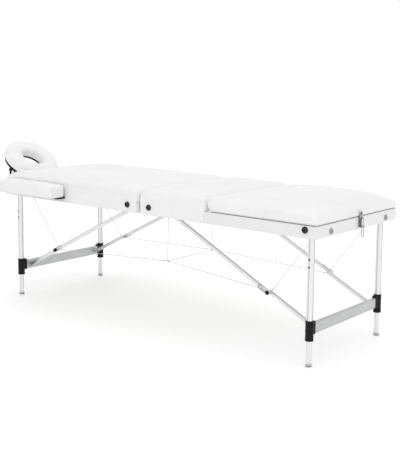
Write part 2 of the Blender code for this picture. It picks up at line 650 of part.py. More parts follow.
def make_face_cradle():
    rod_in = -HALF_LENGTH + CRADLE_ROD_INSERT
    rods = piece("cradle_rods", box((CRADLE_END_X - 0.008, -CRADLE_ROD_Y - 0.010, CRADLE_ROD_Z - 0.008),
                 (CRADLE_END_X + 0.008, CRADLE_ROD_Y + 0.010, CRADLE_ROD_Z + 0.008)),
                 aluminium("cradle_aluminium"), "face_cradle", bevel=0.002)
    pair = bmesh.new()
    posts = bmesh.new()
    for side in (-1, 1):
        y = side * CRADLE_ROD_Y
        rod((rod_in, y, CRADLE_ROD_Z), (CRADLE_END_X, y, CRADLE_ROD_Z), CRADLE_ROD_RADIUS, 16, pair)
        box((CRADLE_END_X - 0.006, y - 0.003, CRADLE_ROD_Z), (CRADLE_END_X + 0.006, y + 0.003,
            CRADLE_PIVOT[2] + 0.005), posts)
    combine(rods, pair, "UNION", "rods")
    combine(rods, posts, "UNION", "posts")
    stubs = bmesh.new()
    for side in (-1, 1):
        rod((CRADLE_PIVOT[0], side * (CRADLE_ROD_Y - 0.012), CRADLE_PIVOT[2]),
            (CRADLE_PIVOT[0], side * (CRADLE_ROD_Y + 0.012), CRADLE_PIVOT[2]), 0.0045, 12, stubs)
    combine(rods, stubs, "UNION", "axle_stubs")
    base_low = 0.012
    base_high = 0.022
    base = piece("face_rest_base", oval_ring(CUSHION_HALF_WIDTH - 0.012, CUSHION_HALF_LENGTH - 0.012, 0.062,
                 base_low, base_high, 0.5, ring_sides=8), black_plastic("black_plate"), "face_rest")
    ears = bmesh.new()
    for side in (-1, 1):
        low, high = y_band(side, (CRADLE_ROD_Y - 0.0100, CRADLE_ROD_Y - 0.0040))
        ear = [(-0.009, -0.009), (0.009, -0.009), (0.009, 0.016), (-0.009, 0.016)]
        near = [ears.verts.new(tilted(low, a, u)) for a, u in ear]
        far = [ears.verts.new(tilted(high, a, u)) for a, u in ear]
        ears.faces.new(near)
        ears.faces.new(far[::-1])
        for i in range(4):
            ears.faces.new((near[i], near[(i + 1) % 4], far[(i + 1) % 4], far[i]))
    combine(base, ears, "UNION", "ears")
    combine(base, rod((CRADLE_PIVOT[0], -0.2, CRADLE_PIVOT[2]), (CRADLE_PIVOT[0], 0.2, CRADLE_PIVOT[2]),
                      0.0045 + RUNNING, 16), "DIFFERENCE", "bore")
    cushion = oval_ring(CUSHION_HALF_WIDTH, CUSHION_HALF_LENGTH, CUSHION_RING, base_high + 0.0006,
                        base_high + 0.0006 + CUSHION_THICKNESS, 0.75, 40, 12)
    piece("face_cushion", cushion, vinyl("white_vinyl"), "face_rest")
    lever_y = -CRADLE_ROD_Y - 0.014
    lever = turned([(0, 0), (0.010, 0), (0.010, 0.007), (0, 0.007)], (CRADLE_PIVOT[0], lever_y, CRADLE_PIVOT[2]),
                   (0, -1, 0), 20)
    cam = piece("cradle_lever", lever, black_plastic("black_plate"), "cradle_lever")
    combine(cam, box((CRADLE_PIVOT[0] - 0.006, lever_y - 0.0065, CRADLE_PIVOT[2] - 0.055),
                     (CRADLE_PIVOT[0] + 0.006, lever_y - 0.0010, CRADLE_PIVOT[2] - 0.002)), "UNION", "arm")


def centre_over_origin():
    """Stand the middle of the whole table, seen along its length, over the origin."""
    bpy.context.view_layer.update()
    graph = bpy.context.evaluated_depsgraph_get()
    reach = []
    for made in bpy.data.objects:
        if made.type == "MESH" and not made.hide_render:
            for corner in made.evaluated_get(graph).bound_box:
                reach.append((made.matrix_world @ Vector(corner)).x)
    bpy.data.objects["couch_axis"].location.x -= (min(reach) + max(reach)) / 2


def main():
    for old in list(bpy.data.objects):
        bpy.data.objects.remove(old)
    pivot("couch", (0, 0, RAIL_BOTTOM))
    pivot("head_half", (0, 0, RAIL_BOTTOM), "couch")
    pivot("backrest", (TILT_X, 0, TILT_Z), "couch")
    pivot("latch_bail", (HALF_LENGTH + GAP + 0.0145, 0, RAIL_BOTTOM + 0.014), "couch")
    for place, end, half in (("foot", 1, "couch"), ("head", -1, "head_half")):
        pivot(f"{place}_legs", (end * LEG_X, 0, LEG_AXIS_Z), half)
        pivot(f"{place}_brace_upper", (end * STRUT_ROOT_X, 0, STRUT_ROOT_Z), half)
        pivot(f"{place}_brace_lower", (end * STRUT_FOOT_X, 0, STRUT_FOOT_Z), f"{place}_legs")
    for name, side in both_sides():
        pivot(f"armrest_{name}", (sum(ARMREST_X) / 2, side * SIDE, PEG_Z), "head_half")
    pivot("face_cradle", (-HALF_LENGTH, 0, CRADLE_ROD_Z), "head_half")
    pivot("face_rest", CRADLE_PIVOT, "face_cradle")
    pivot("cradle_lever", (CRADLE_PIVOT[0], -CRADLE_ROD_Y - 0.014, CRADLE_PIVOT[2]), "face_cradle")

    make_frame(1, "couch")
    make_head_bores(make_frame(-1, "head_half"))
    make_pads()
    make_backrest()
    make_ratchets()
    make_fold_hinge()
    for place, end, half in (("foot", 1, "couch"), ("head", -1, "head_half")):
        make_legs(place, end)
        make_crossbar(place, end)
        make_braces(place, end)
        axle = rod((end * LEG_X, -RAIL_INNER + GAP, LEG_AXIS_Z), (end * LEG_X, RAIL_INNER - GAP, LEG_AXIS_Z),
                   AXLE_RADIUS)
        piece(f"{place}_leg_axle", axle, steel("axle_steel"), half)
    make_cables()
    make_latch()
    make_suitcase_feet()
    make_handle()
    make_armrests()
    make_face_cradle()
    centre_over_origin()


main()
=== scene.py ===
# %% [markdown]
# # A portable massage table
# The table's moving structure is loaded as a fixed frame of named parts. Every visible piece below is
# made in that same frame, in metres, so each one takes its place from the part that it covers or
# joins. The cells go from camera and floor to finishes, then upholstery, wires and small hardware.

import json
import math

import bmesh
import bpy
import numpy as np
from mathutils import Matrix, Vector


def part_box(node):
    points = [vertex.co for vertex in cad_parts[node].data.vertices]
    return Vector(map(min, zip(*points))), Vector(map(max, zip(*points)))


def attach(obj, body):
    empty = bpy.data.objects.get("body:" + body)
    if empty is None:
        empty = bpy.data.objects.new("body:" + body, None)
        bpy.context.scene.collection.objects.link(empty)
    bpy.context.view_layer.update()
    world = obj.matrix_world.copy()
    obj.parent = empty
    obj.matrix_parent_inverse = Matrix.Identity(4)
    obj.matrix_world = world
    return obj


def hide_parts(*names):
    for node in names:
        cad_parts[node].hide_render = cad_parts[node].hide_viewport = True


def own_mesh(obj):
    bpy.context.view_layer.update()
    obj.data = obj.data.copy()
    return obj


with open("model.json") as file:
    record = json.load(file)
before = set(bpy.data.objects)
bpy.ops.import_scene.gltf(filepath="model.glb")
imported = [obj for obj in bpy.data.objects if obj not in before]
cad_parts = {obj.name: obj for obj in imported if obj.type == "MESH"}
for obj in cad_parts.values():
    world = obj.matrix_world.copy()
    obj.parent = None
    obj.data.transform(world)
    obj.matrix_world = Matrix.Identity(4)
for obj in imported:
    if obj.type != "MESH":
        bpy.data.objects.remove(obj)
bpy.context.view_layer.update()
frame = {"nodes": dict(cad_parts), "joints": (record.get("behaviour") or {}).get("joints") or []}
JOINTS = {joint["name"]: joint for joint in frame["joints"]}
FOLD = Vector(JOINTS["table_fold"]["pos_m"])
TILT = Vector(JOINTS["backrest_tilt"]["pos_m"])
print("frame", len(frame["nodes"]), "parts, fold line at", [round(v, 4) for v in FOLD])


def low(node):
    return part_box(node)[0]


def high(node):
    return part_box(node)[1]


# %% [markdown]
# ## Camera, floor and light
# A product picture on white needs a long lens, a pale floor that melts into the backdrop, and large
# soft lamps. The camera stands off the foot end's near corner at couch height, so that the long side
# runs away from it. The lamps are big area lights: their wide, even reflections are what make satin
# aluminium and soft vinyl readable against a white ground.

# %% Camera
CAMERA_FROM_FOLD = Vector((2.692, -3.120, 0.631))
CAMERA_TURN = math.radians(37.07)
CAMERA_DIP = math.radians(-6.89)
CAMERA_ROLL = math.radians(0.92)
lens = bpy.data.cameras.new("camera")
lens.lens = 69.4
lens.sensor_width = 36.0
lens.shift_x = -0.0965
lens.shift_y = -0.1103
camera = bpy.data.objects.new("camera", lens)
bpy.context.scene.collection.objects.link(camera)
turn = Matrix.Rotation(CAMERA_TURN, 4, "Z") @ Matrix.Rotation(math.pi / 2 + CAMERA_DIP, 4, "X")
roll = Matrix.Rotation(CAMERA_ROLL, 4, "Z")
camera.matrix_world = Matrix.Translation(FOLD + CAMERA_FROM_FOLD) @ turn @ roll
bpy.context.scene.camera = camera
print("camera at", [round(v, 3) for v in camera.location])


# %% Floor, backdrop and lamps
def plain_material(name, color, roughness):
    made = bpy.data.materials.new(name)
    made.use_nodes = True
    shader = made.node_tree.nodes["Principled BSDF"]
    shader.inputs["Base Color"].default_value = (*color, 1.0)
    shader.inputs["Roughness"].default_value = roughness
    return made


floor_mesh = bpy.data.meshes.new("studio_floor")
REACH = 14.0
floor_corners = [(-REACH, -REACH, 0), (REACH, -REACH, 0), (REACH, REACH, 0), (-REACH, REACH, 0)]
floor_mesh.from_pydata(floor_corners, [], [(0, 1, 2, 3)])
floor = bpy.data.objects.new("studio_floor", floor_mesh)
bpy.context.scene.collection.objects.link(floor)
floor_white = plain_material("floor_white", (0.93, 0.93, 0.93), 0.6)
floor_shader = floor_white.node_tree.nodes["Principled BSDF"]
floor_shader.inputs["Emission Color"].default_value = (1.0, 1.0, 1.0, 1.0)
floor_shader.inputs["Emission Strength"].default_value = 0.12
floor_mesh.materials.append(floor_white)

world = bpy.data.worlds.new("studio")
bpy.context.scene.world = world
world.use_nodes = True
world.node_tree.nodes["Background"].inputs["Color"].default_value = (1.0, 1.0, 1.0, 1.0)
world.node_tree.nodes["Background"].inputs["Strength"].default_value = 1.0
bpy.context.scene.view_settings.view_transform = "Standard"


def soft_lamp(name, place, aim, size, watts):
    light = bpy.data.lights.new(name, "AREA")
    light.shape = "RECTANGLE"
    light.size, light.size_y = size
    light.energy = watts
    lamp = bpy.data.objects.new(name, light)
    lamp.location = place
    lamp.rotation_euler = (Vector(aim) - Vector(place)).to_track_quat("-Z", "Y").to_euler()
    bpy.context.scene.collection.objects.link(lamp)


soft_lamp("key", (1.5, -3.6, 3.4), (0.1, 0, 0.5), (2.6, 1.6), 17)
soft_lamp("top", (-0.4, 0.6, 3.6), (0.0, 0, 0.6), (3.4, 2.2), 12)
soft_lamp("side", (4.2, 0.8, 1.6), (0.4, 0, 0.4), (1.6, 2.2), 7)
print("floor, world and lamps ready")

# %% [markdown]
# ## Finishes
# Real finishes are never one flat value. The vinyl is a coated fabric with a fine pebbled grain and a
# faint sheen; the rails are satin white; tubes are extruded aluminium with fine lengthwise lines;
# black parts are moulded with a light spark texture. Each shared effect is one node group that gives
# out a value, so that it can be placed in several materials with its own numbers.


# %% Shared effects as node groups
def group(name, inputs, outputs):
    tree = bpy.data.node_groups.new(name, "ShaderNodeTree")
    for label, kind, value in inputs:
        socket = tree.interface.new_socket(label, in_out="INPUT", socket_type=kind)
        if value is not None:
            socket.default_value = value
    for label, kind in outputs:
        tree.interface.new_socket(label, in_out="OUTPUT", socket_type=kind)
    return tree, tree.nodes.new("NodeGroupInput"), tree.nodes.new("NodeGroupOutput")


def value_step(tree, operation, first, second):
    node = tree.nodes.new("ShaderNodeMath")
    node.operation = operation
    for socket, value in zip(node.inputs, (first, second)):
        if isinstance(value, (int, float)):
            socket.default_value = value
        else:
            tree.links.new(value, socket)
    return node.outputs[0]


def noise(tree, vector, scale, detail=2.0):
    node = tree.nodes.new("ShaderNodeTexNoise")
    node.inputs["Detail"].default_value = detail
    if isinstance(scale, (int, float)):
        node.inputs["Scale"].default_value = scale
    else:
        tree.links.new(scale, node.inputs["Scale"])
    tree.links.new(vector, node.inputs["Vector"])
    return node.outputs["Fac"]


def object_place(tree, stretch=(1.0, 1.0, 1.0)):
    """Object coordinates, each axis multiplied, so a pattern can be drawn out along a tube."""
    coordinates = tree.nodes.new("ShaderNodeTexCoord")
    mapping = tree.nodes.new("ShaderNodeMapping")
    mapping.inputs["Scale"].default_value = stretch
    tree.links.new(coordinates.outputs["Object"], mapping.inputs["Vector"])
    return mapping.outputs["Vector"]


def make_grain_group():
    """Pebbled grain: cells with rounded tops plus a fine noise, given as a bump height."""
    tree, given, out = group("pebbled_grain", [("Vector", "NodeSocketVector", None),
                             ("Pebbles", "NodeSocketFloat", 900.0)], [("Height", "NodeSocketFloat")])
    cells = tree.nodes.new("ShaderNodeTexVoronoi")
    cells.feature = "SMOOTH_F1"
    cells.inputs["Smoothness"].default_value = 0.6
    tree.links.new(given.outputs["Vector"], cells.inputs["Vector"])
    tree.links.new(given.outputs["Pebbles"], cells.inputs["Scale"])
    finer = value_step(tree, "MULTIPLY", given.outputs["Pebbles"], 1.7)
    fine = noise(tree, given.outputs["Vector"], finer)
    height = value_step(tree, "SUBTRACT", value_step(tree, "MULTIPLY", fine, 0.4), cells.outputs["Distance"])
    tree.links.new(height, out.inputs["Height"])
    return tree


def make_mottle_group():
    """Two sizes of soft blotch between 0 and 1: handling marks, dust and uneven sheen."""
    tree, given, out = group("mottle", [("Vector", "NodeSocketVector", None),
                             ("Size", "NodeSocketFloat", 6.0)], [("Value", "NodeSocketFloat")])
    broad = noise(tree, given.outputs["Vector"], given.outputs["Size"], 3.0)
    finer = value_step(tree, "MULTIPLY", given.outputs["Size"], 7.0)
    small = noise(tree, given.outputs["Vector"], finer, 4.0)
    broad_share = value_step(tree, "MULTIPLY", broad, 0.65)
    small_share = value_step(tree, "MULTIPLY", small, 0.35)
    both = value_step(tree, "ADD", broad_share, small_share)
    tree.links.new(both, out.inputs["Value"])
    return tree


def make_edge_group():
    """Worn edges: high where the surface turns sharply outward, broken up by noise."""
    tree, given, out = group("edge_wear", [("Vector", "NodeSocketVector", None),
                             ("Amount", "NodeSocketFloat", 1.0)], [("Mask", "NodeSocketFloat")])
    geometry = tree.nodes.new("ShaderNodeNewGeometry")
    ridge = tree.nodes.new("ShaderNodeMapRange")
    ridge.inputs["From Min"].default_value = 0.53
    ridge.inputs["From Max"].default_value = 0.62
    tree.links.new(geometry.outputs["Pointiness"], ridge.inputs["Value"])
    breaks = noise(tree, given.outputs["Vector"], 90.0, 4.0)
    broken = value_step(tree, "MULTIPLY", ridge.outputs["Result"], breaks)
    tree.links.new(value_step(tree, "MULTIPLY", broken, given.outputs["Amount"]), out.inputs["Mask"])
    return tree


GRAIN = make_grain_group()
MOTTLE = make_mottle_group()
EDGES = make_edge_group()
print("node groups:", [tree.name for tree in (GRAIN, MOTTLE, EDGES)])


# %% Materials
def place_group(tree, which, vector, **values):
    node = tree.nodes.new("ShaderNodeGroup")
    node.node_tree = which
    tree.links.new(vector, node.inputs["Vector"])
    for label, value in values.items():
        node.inputs[label].default_value = value
    return node.outputs[0]


def ramp(tree, fac, low_value, high_value):
    """Turns a 0 to 1 mask into a colour or a grey between two values."""
    node = tree.nodes.new("ShaderNodeValToRGB")
    for stop, position, value in zip(node.color_ramp.elements, (0.3, 0.7), (low_value, high_value)):
        stop.position = position
        stop.color = (*(value if isinstance(value, tuple) else (value, value, value)), 1.0)
    tree.links.new(fac, node.inputs["Fac"])
    return node.outputs["Color"]


def bump(tree, shader, height, distance):
    node = tree.nodes.new("ShaderNodeBump")
    node.inputs["Distance"].default_value = distance
    node.inputs["Strength"].default_value = 1.0
    tree.links.new(height, node.inputs["Height"])
    tree.links.new(node.outputs["Normal"], shader.inputs["Normal"])


def finish(name, colors, roughness, metallic=0.0, size=6.0, stretch=(1, 1, 1), lines=0.0, grain=None,
           grain_depth=0.0, wear=None, **constants):
    """One finish: mottled colour and roughness, optional drawn lines, grain and worn edges."""
    made = bpy.data.materials.new(name)
    made.use_nodes = True
    tree = made.node_tree
    shader = tree.nodes["Principled BSDF"]
    place = object_place(tree)
    blotch = place_group(tree, MOTTLE, place, Size=size)
    color = ramp(tree, blotch, *colors)
    shade = ramp(tree, blotch, *roughness)
    if lines:
        bump(tree, shader, noise(tree, object_place(tree, stretch), 2400.0, 1.0), lines)
    if grain:
        bump(tree, shader, place_group(tree, GRAIN, place, Pebbles=grain), grain_depth)
    if wear:
        mask = place_group(tree, EDGES, place, Amount=1.0)
        mix = tree.nodes.new("ShaderNodeMix")
        mix.data_type = "RGBA"
        tree.links.new(mask, mix.inputs[0])
        tree.links.new(color, mix.inputs[6])
        mix.inputs[7].default_value = (*wear, 1.0)
        color = mix.outputs[2]
    tree.links.new(color, shader.inputs["Base Color"])
    tree.links.new(shade, shader.inputs["Roughness"])
    shader.inputs["Metallic"].default_value = metallic
    for label, value in constants.items():
        shader.inputs[label.replace("_", " ")].default_value = value
    return made


VINYL = finish("white_vinyl", ((0.750, 0.750, 0.748), (0.805, 0.805, 0.803)), (0.36, 0.50), size=5.0,
               grain=650.0, grain_depth=0.00022, Specular_IOR_Level=0.42)
VINYL_PIPING = finish("white_piping", ((0.77, 0.77, 0.767), (0.82, 0.82, 0.817)), (0.34, 0.46), size=12.0,
                      grain=1100.0, grain_depth=0.00012, Specular_IOR_Level=0.45)
RAIL_WHITE = finish("rail_white", ((0.70, 0.70, 0.70), (0.76, 0.76, 0.76)), (0.30, 0.42), size=4.0,
                    grain=1400.0, grain_depth=0.00004, wear=(0.70, 0.70, 0.70))
ALUMINIUM = finish("leg_aluminium", ((0.73, 0.733, 0.736), (0.79, 0.793, 0.796)), (0.22, 0.28), metallic=0.92,
                   size=8.0, stretch=(1.0, 1.0, 0.004), lines=0.000003)
BAR_ALUMINIUM = finish("crossbar_aluminium", ((0.46, 0.465, 0.47), (0.58, 0.585, 0.59)), (0.34, 0.46),
                       metallic=0.85, size=7.0, stretch=(1.0, 0.004, 1.0), lines=0.00002)
BRACE_ALUMINIUM = finish("brace_aluminium", ((0.66, 0.663, 0.667), (0.78, 0.783, 0.786)), (0.26, 0.40),
                         metallic=0.9, size=9.0, stretch=(0.01, 1.0, 0.02), lines=0.000004)
ZINC = finish("zinc_steel", ((0.50, 0.51, 0.52), (0.66, 0.67, 0.68)), (0.26, 0.44), metallic=1.0, size=40.0,
              grain=500.0, grain_depth=0.00003)
CHROME = finish("chrome_plate", ((0.70, 0.71, 0.72), (0.80, 0.81, 0.82)), (0.08, 0.18), metallic=1.0,
                size=20.0)
DARK_STEEL = finish("latch_steel", ((0.045, 0.045, 0.047), (0.10, 0.10, 0.102)), (0.28, 0.42),
                    metallic=0.9, size=60.0, wear=(0.5, 0.5, 0.5))
BAIL_STEEL = finish("bail_steel", ((0.26, 0.265, 0.27), (0.40, 0.405, 0.41)), (0.20, 0.34), metallic=0.95,
                    size=60.0)
FITTING = finish("end_fitting_steel", ((0.22, 0.225, 0.23), (0.36, 0.365, 0.37)), (0.18, 0.34), metallic=0.95,
                 size=90.0, wear=(0.6, 0.6, 0.6))
# Dark aluminium for painted shade: the thin strips along the leg tubes and along the braces' top edges stand
# in for the shade there.
PAINTED_SHADE = finish("painted_shade_aluminium", ((0.28, 0.285, 0.29), (0.38, 0.385, 0.39)), (0.35, 0.50), metallic=0.9,
                size=30.0)
CABLE = finish("cable_steel", ((0.42, 0.42, 0.43), (0.62, 0.62, 0.63)), (0.30, 0.45), metallic=0.9, size=80.0,
               stretch=(0.1, 1.0, 1.0), lines=0.00005)
BLACK = finish("black_plastic", ((0.003, 0.003, 0.003), (0.007, 0.007, 0.007)), (0.38, 0.55), size=25.0,
               grain=1800.0, grain_depth=0.00006, wear=(0.02, 0.02, 0.02), Specular_IOR_Level=0.16)
RUBBER = finish("black_rubber", ((0.008, 0.008, 0.008), (0.018, 0.018, 0.018)), (0.50, 0.70), size=40.0,
                grain=1500.0, grain_depth=0.00008, Specular_IOR_Level=0.45)
GREY_FOOT = finish("grey_foot_cap", ((0.42, 0.42, 0.422), (0.52, 0.52, 0.522)), (0.45, 0.62), size=50.0,
                   grain=1500.0, grain_depth=0.00006)
PLYWOOD = finish("pale_board", ((0.66, 0.645, 0.615), (0.76, 0.745, 0.72)), (0.48, 0.62), size=3.0,
                 stretch=(0.004, 0.1, 0.1), lines=0.00008)
WEBBING = finish("black_webbing", ((0.012, 0.012, 0.013), (0.035, 0.035, 0.036)), (0.7, 0.85), size=150.0,
                 grain=900.0, grain_depth=0.0003)
print("materials:", len([m for m in bpy.data.materials if m.use_nodes]))

# %% Finishes of the frame's own parts
FINISH_OF = ((ALUMINIUM, ("leg_tube", "leg_inner", "cradle_rods")),
             (BAR_ALUMINIUM, ("foot_crossbar", "head_crossbar")),
             (BRACE_ALUMINIUM, ("brace_upper", "brace_lower")),
             (BLACK, ("leg_clamp", "cradle_lever", "face_rest_base", "armrest_bracket")),
             (ZINC, ("foot_leg_axle", "head_leg_axle", "seat_hinge", "head_hinge", "ratchet")),
             (CHROME, ("latch_plate", "latch_bail", "latch_catch")),
             (RAIL_WHITE, ("seat_frame", "head_frame")),
             (CABLE, ("brace_cable", "centre_cable")),
             (GREY_FOOT, ("leg_foot",)), (RUBBER, ("suitcase_foot",)), (DARK_STEEL, ("latch_lever",)),
             (PLYWOOD, ("backrest_board",)), (WEBBING, ("carry_handle",)))
for node_name, part in frame["nodes"].items():
    chosen = [made for made, starts in FINISH_OF if node_name.startswith(starts)]
    if chosen:
        part.data.materials.clear()
        part.data.materials.append(chosen[0])
print("finished parts:", sum(bool(part.data.materials) for part in frame["nodes"].values()))

# %% [markdown]
# ## Upholstery
# Each section is foam on a board under a tight vinyl cover. The head and seat covers run down over the
# rails; the backrest's cover is tucked round its own board, which leaves a shadow line above the rail.
# A pad starts as a rounded block worked out on a lattice, gets its crown from a formula, and is then
# inflated for a few frames as cloth, held along its lower edge, so that the cover takes the taut,
# slightly uneven fullness of real foam.


# %% Surfaces on a lattice
def stations(start, end, edge, coarse):
    """Cuts along one side: five short steps across each rounded edge, even steps between them."""
    span = end - start
    edge = min(edge, span / 2.2)
    inner = max(1, int(round((span - 2 * edge) / coarse)))
    ease = np.linspace(0, 1, 6)[:-1]
    return np.concatenate([start + edge * ease, np.linspace(start + edge, end - edge, inner + 1),
                           (end - edge * ease)[::-1]])


def block_lattice(xs, ys, zs):
    """Points and outward quads of a box's six sides, cut at the given stations.

    Every lattice point with one index at an end lies on the box. Faces are drawn side by side and
    their shared points are found again by their index triples.
    """
    sizes = np.array([len(xs), len(ys), len(zs)])
    quads = []
    for axis in range(3):
        first, second = (axis + 1) % 3, (axis + 2) % 3
        i, j = np.meshgrid(np.arange(sizes[first] - 1), np.arange(sizes[second] - 1), indexing="ij")
        i, j = i.ravel(), j.ravel()
        for end in (0, sizes[axis] - 1):
            corners = []
            order = ((0, 0), (1, 0), (1, 1), (0, 1))
            for a, b in order if end else order[::-1]:
                triple = np.zeros((len(i), 3), int)
                triple[:, axis] = end
                triple[:, first] = i + a
                triple[:, second] = j + b
                corners.append(triple @ np.array([sizes[1] * sizes[2], sizes[2], 1]))
            quads.append(np.stack(corners, 1))
    codes, faces = np.unique(np.concatenate(quads), return_inverse=True)
    index = np.stack([codes // (sizes[1] * sizes[2]), codes // sizes[2] % sizes[1], codes % sizes[2]], 1)
    points = np.stack([np.asarray(cuts)[index[:, k]] for k, cuts in enumerate((xs, ys, zs))], 1)
    return points, faces.reshape(-1, 4)


def round_block(points, corner_low, corner_high, radius):
    """Rounded box: the nearest point of a box shrunk by the radius, plus the radius outward."""
    inner = np.clip(points, np.asarray(corner_low) + radius, np.asarray(corner_high) - radius)
    away = points - inner
    length = np.linalg.norm(away, axis=1, keepdims=True)
    return inner + radius * away / np.maximum(length, 1e-9)


def crown(points, corner_low, corner_high, rise, power=3.0, depth=0.035):
    """Lifts the top: rise times (1 - |u|^power)(1 - |v|^power), fading out down the sides."""
    middle = (np.asarray(corner_low) + np.asarray(corner_high)) / 2
    half = (np.asarray(corner_high) - np.asarray(corner_low)) / 2
    u, v = np.abs((points - middle) / half)[:, :2].T
    fade = np.clip((points[:, 2] - (corner_high[2] - depth)) / depth, 0, 1)
    lift = rise * (1 - np.clip(u, 0, 1) ** power) * (1 - np.clip(v, 0, 1) ** power)
    points[:, 2] += lift * fade ** 2
    return points


def roll_edges(points, edges_low, edges_high, base, reach, drop_ends, drop_sides):
    """Lowers the top towards its edges: height times 1 - drop t^2.2.

    t grows from 0 at the given reach from an edge to 1 on the edge; ends and sides have their own drop.
    """
    inward = np.minimum(points[:, :2] - np.asarray(edges_low)[:2], np.asarray(edges_high)[:2] - points[:, :2])
    near = np.clip(1 - inward / reach, 0, 1) ** 2.2
    lost = 1 - (1 - drop_ends * near[:, 0]) * (1 - drop_sides * near[:, 1])
    points[:, 2] -= np.clip(points[:, 2] - base, 0, None) * lost
    return points


def new_piece(name, points, faces, material, smooth=True):
    """Puts points and faces, given in the frame's metres, into an object at the origin."""
    mesh = bpy.data.meshes.new(name)
    mesh.from_pydata(np.asarray(points).tolist(), [], [list(map(int, face)) for face in faces])
    mesh.update()
    if smooth:
        mesh.shade_smooth()
    mesh.materials.append(material)
    made = bpy.data.objects.new(name, mesh)
    bpy.context.scene.collection.objects.link(made)
    return made


def read_points(mesh):
    points = np.empty(len(mesh.vertices) * 3, np.float32)
    mesh.vertices.foreach_get("co", points)
    return points.reshape(-1, 3).astype(float)


# %% Inflating a cover as cloth
def inflate(piece, held, pressure, cap, frames=14, stiffness=15.0):
    """Runs pressure on the cover with some points held, then keeps each point's move under a cap."""
    before = read_points(piece.data)
    holding = piece.vertex_groups.new(name="held")
    holding.add(np.nonzero(held)[0].tolist(), 1.0, "REPLACE")
    cloth = piece.modifiers.new("cover", "CLOTH")
    cloth.settings.vertex_group_mass = "held"
    cloth.settings.use_pressure = True
    cloth.settings.uniform_pressure_force = pressure
    cloth.settings.effector_weights.gravity = 0.0
    cloth.settings.quality = 5
    cloth.settings.mass = 0.3
    cloth.settings.tension_stiffness = stiffness
    cloth.settings.compression_stiffness = stiffness
    cloth.settings.shear_stiffness = stiffness / 3
    cloth.settings.bending_stiffness = 1.5
    cloth.settings.air_damping = 3.0
    for step in range(1, frames + 1):
        bpy.context.scene.frame_set(step)
    shown = piece.evaluated_get(bpy.context.evaluated_depsgraph_get())
    move = read_points(shown.data) - before
    length = np.linalg.norm(move, axis=1, keepdims=True)
    kept = move * np.minimum(1.0, cap / np.maximum(length, 1e-9))
    piece.modifiers.remove(cloth)
    piece.vertex_groups.remove(holding)
    bpy.context.scene.frame_set(1)
    piece.data.vertices.foreach_set("co", (before + kept).astype(np.float32).ravel())
    piece.data.update()
    furthest = float(np.linalg.norm(kept, axis=1).max())
    print(piece.name, "inflated, furthest move", round(furthest * 1000, 1), "mm")
    return piece


def refine(piece):
    """One level of smoothing between the lattice points."""
    soft = piece.modifiers.new("fine", "SUBSURF")
    soft.levels = 1
    soft.render_levels = 1


def thicken(piece, amount):
    """Gives an open cover its thickness on the inside."""
    wall = piece.modifiers.new("wall", "SOLIDIFY")
    wall.thickness = amount
    wall.offset = -1.0
    wall.use_rim = True
    return piece


def bind(piece, body, *nodes):
    """Gives a piece its body and the parts that it stands for."""
    if body:
        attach(piece, body)
    if nodes:
        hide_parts(*nodes)
    return piece


# %% [markdown]
# ## Head and seat covers
# The cover of these two sections is one sheet from the top down over the rails, so its long sides are
# smooth from the pad's edge to the rail's underside. It is made as a shell: top, fold and end faces,
# and skirts outside the rails. A board closes each pad from below.

# %% Head and seat
RAIL_UNDERSIDE = low("seat_frame").z
PROUD = 0.0013        # how far the skirts stand off the rails
SOFT_EDGE = 0.017     # roundness of the pads' upper edges
CELL = 0.014
BOARD_INSET, BOARD_THICKNESS = 0.004, 0.008


def section_cover(name, pad, body, end_skirt, rise):
    start, end = low(pad), high(pad)
    corner_low = (start.x - (PROUD if end_skirt else -0.0002), start.y - PROUD, RAIL_UNDERSIDE - SOFT_EDGE)
    corner_high = (end.x, end.y + PROUD, end.z)
    zs = np.concatenate([[corner_low[2]], np.linspace(RAIL_UNDERSIDE, start.z, 4),
                         stations(start.z, end.z, SOFT_EDGE, CELL)[1:]])
    points, faces = block_lattice(stations(corner_low[0], corner_high[0], SOFT_EDGE, CELL),
                                  stations(corner_low[1], corner_high[1], SOFT_EDGE, CELL), zs)
    points = round_block(points, corner_low, corner_high, SOFT_EDGE)
    points = crown(points, corner_low, corner_high, rise)
    middle = points[faces].mean(1)
    points = roll_edges(points, corner_low, corner_high, start.z, 0.050, 0.34, 0.14)
    kept = middle[:, 2] > RAIL_UNDERSIDE
    skirt = middle[:, 2] < start.z
    on_long_side = np.abs(middle[:, 1] - (start.y + end.y) / 2) > (end.y - start.y) / 2 - 0.0006
    on_end = (middle[:, 0] < start.x + SOFT_EDGE) & end_skirt
    kept &= ~skirt | on_long_side | on_end
    used, faces = np.unique(faces[kept], return_inverse=True)
    points, faces = points[used], faces.reshape(-1, 4)
    cover = new_piece(name, points, faces, VINYL)
    held = points[:, 2] < start.z + 0.012
    inflate(cover, held, 1.6, 0.005)
    refine(thicken(cover, 0.0011))
    bind(cover, body, pad)


def under_board(name, pad, body):
    """The panel that closes a pad from below, its face flush with the foam's underside."""
    start, end = low(pad), high(pad)
    corner_low = (start.x + BOARD_INSET, start.y + BOARD_INSET, start.z)
    corner_high = (end.x - BOARD_INSET, end.y - BOARD_INSET, start.z + BOARD_THICKNESS)
    points, faces = block_lattice(*zip(corner_low, corner_high))
    bind(new_piece(name, points, faces, PLYWOOD, smooth=False), body)


section_cover("head_section_cover", "head_pad", "head_half", True, 0.008)
section_cover("seat_section_cover", "seat_pad", "seat_half", False, 0.007)
under_board("head_board", "head_pad", "head_half")
under_board("seat_board", "seat_pad", "seat_half")
print("head and seat covered")

# %% [markdown]
# ## Backrest
# The tilting pad is a closed cushion of its own. Its inner end is a round nose about the tilt axis,
# made by drawing the square end of the lattice into a half disc: for u and v from -1 to 1 across the
# square, x = u sqrt(1 - v^2 / 2) and z = v sqrt(1 - u^2 / 2).

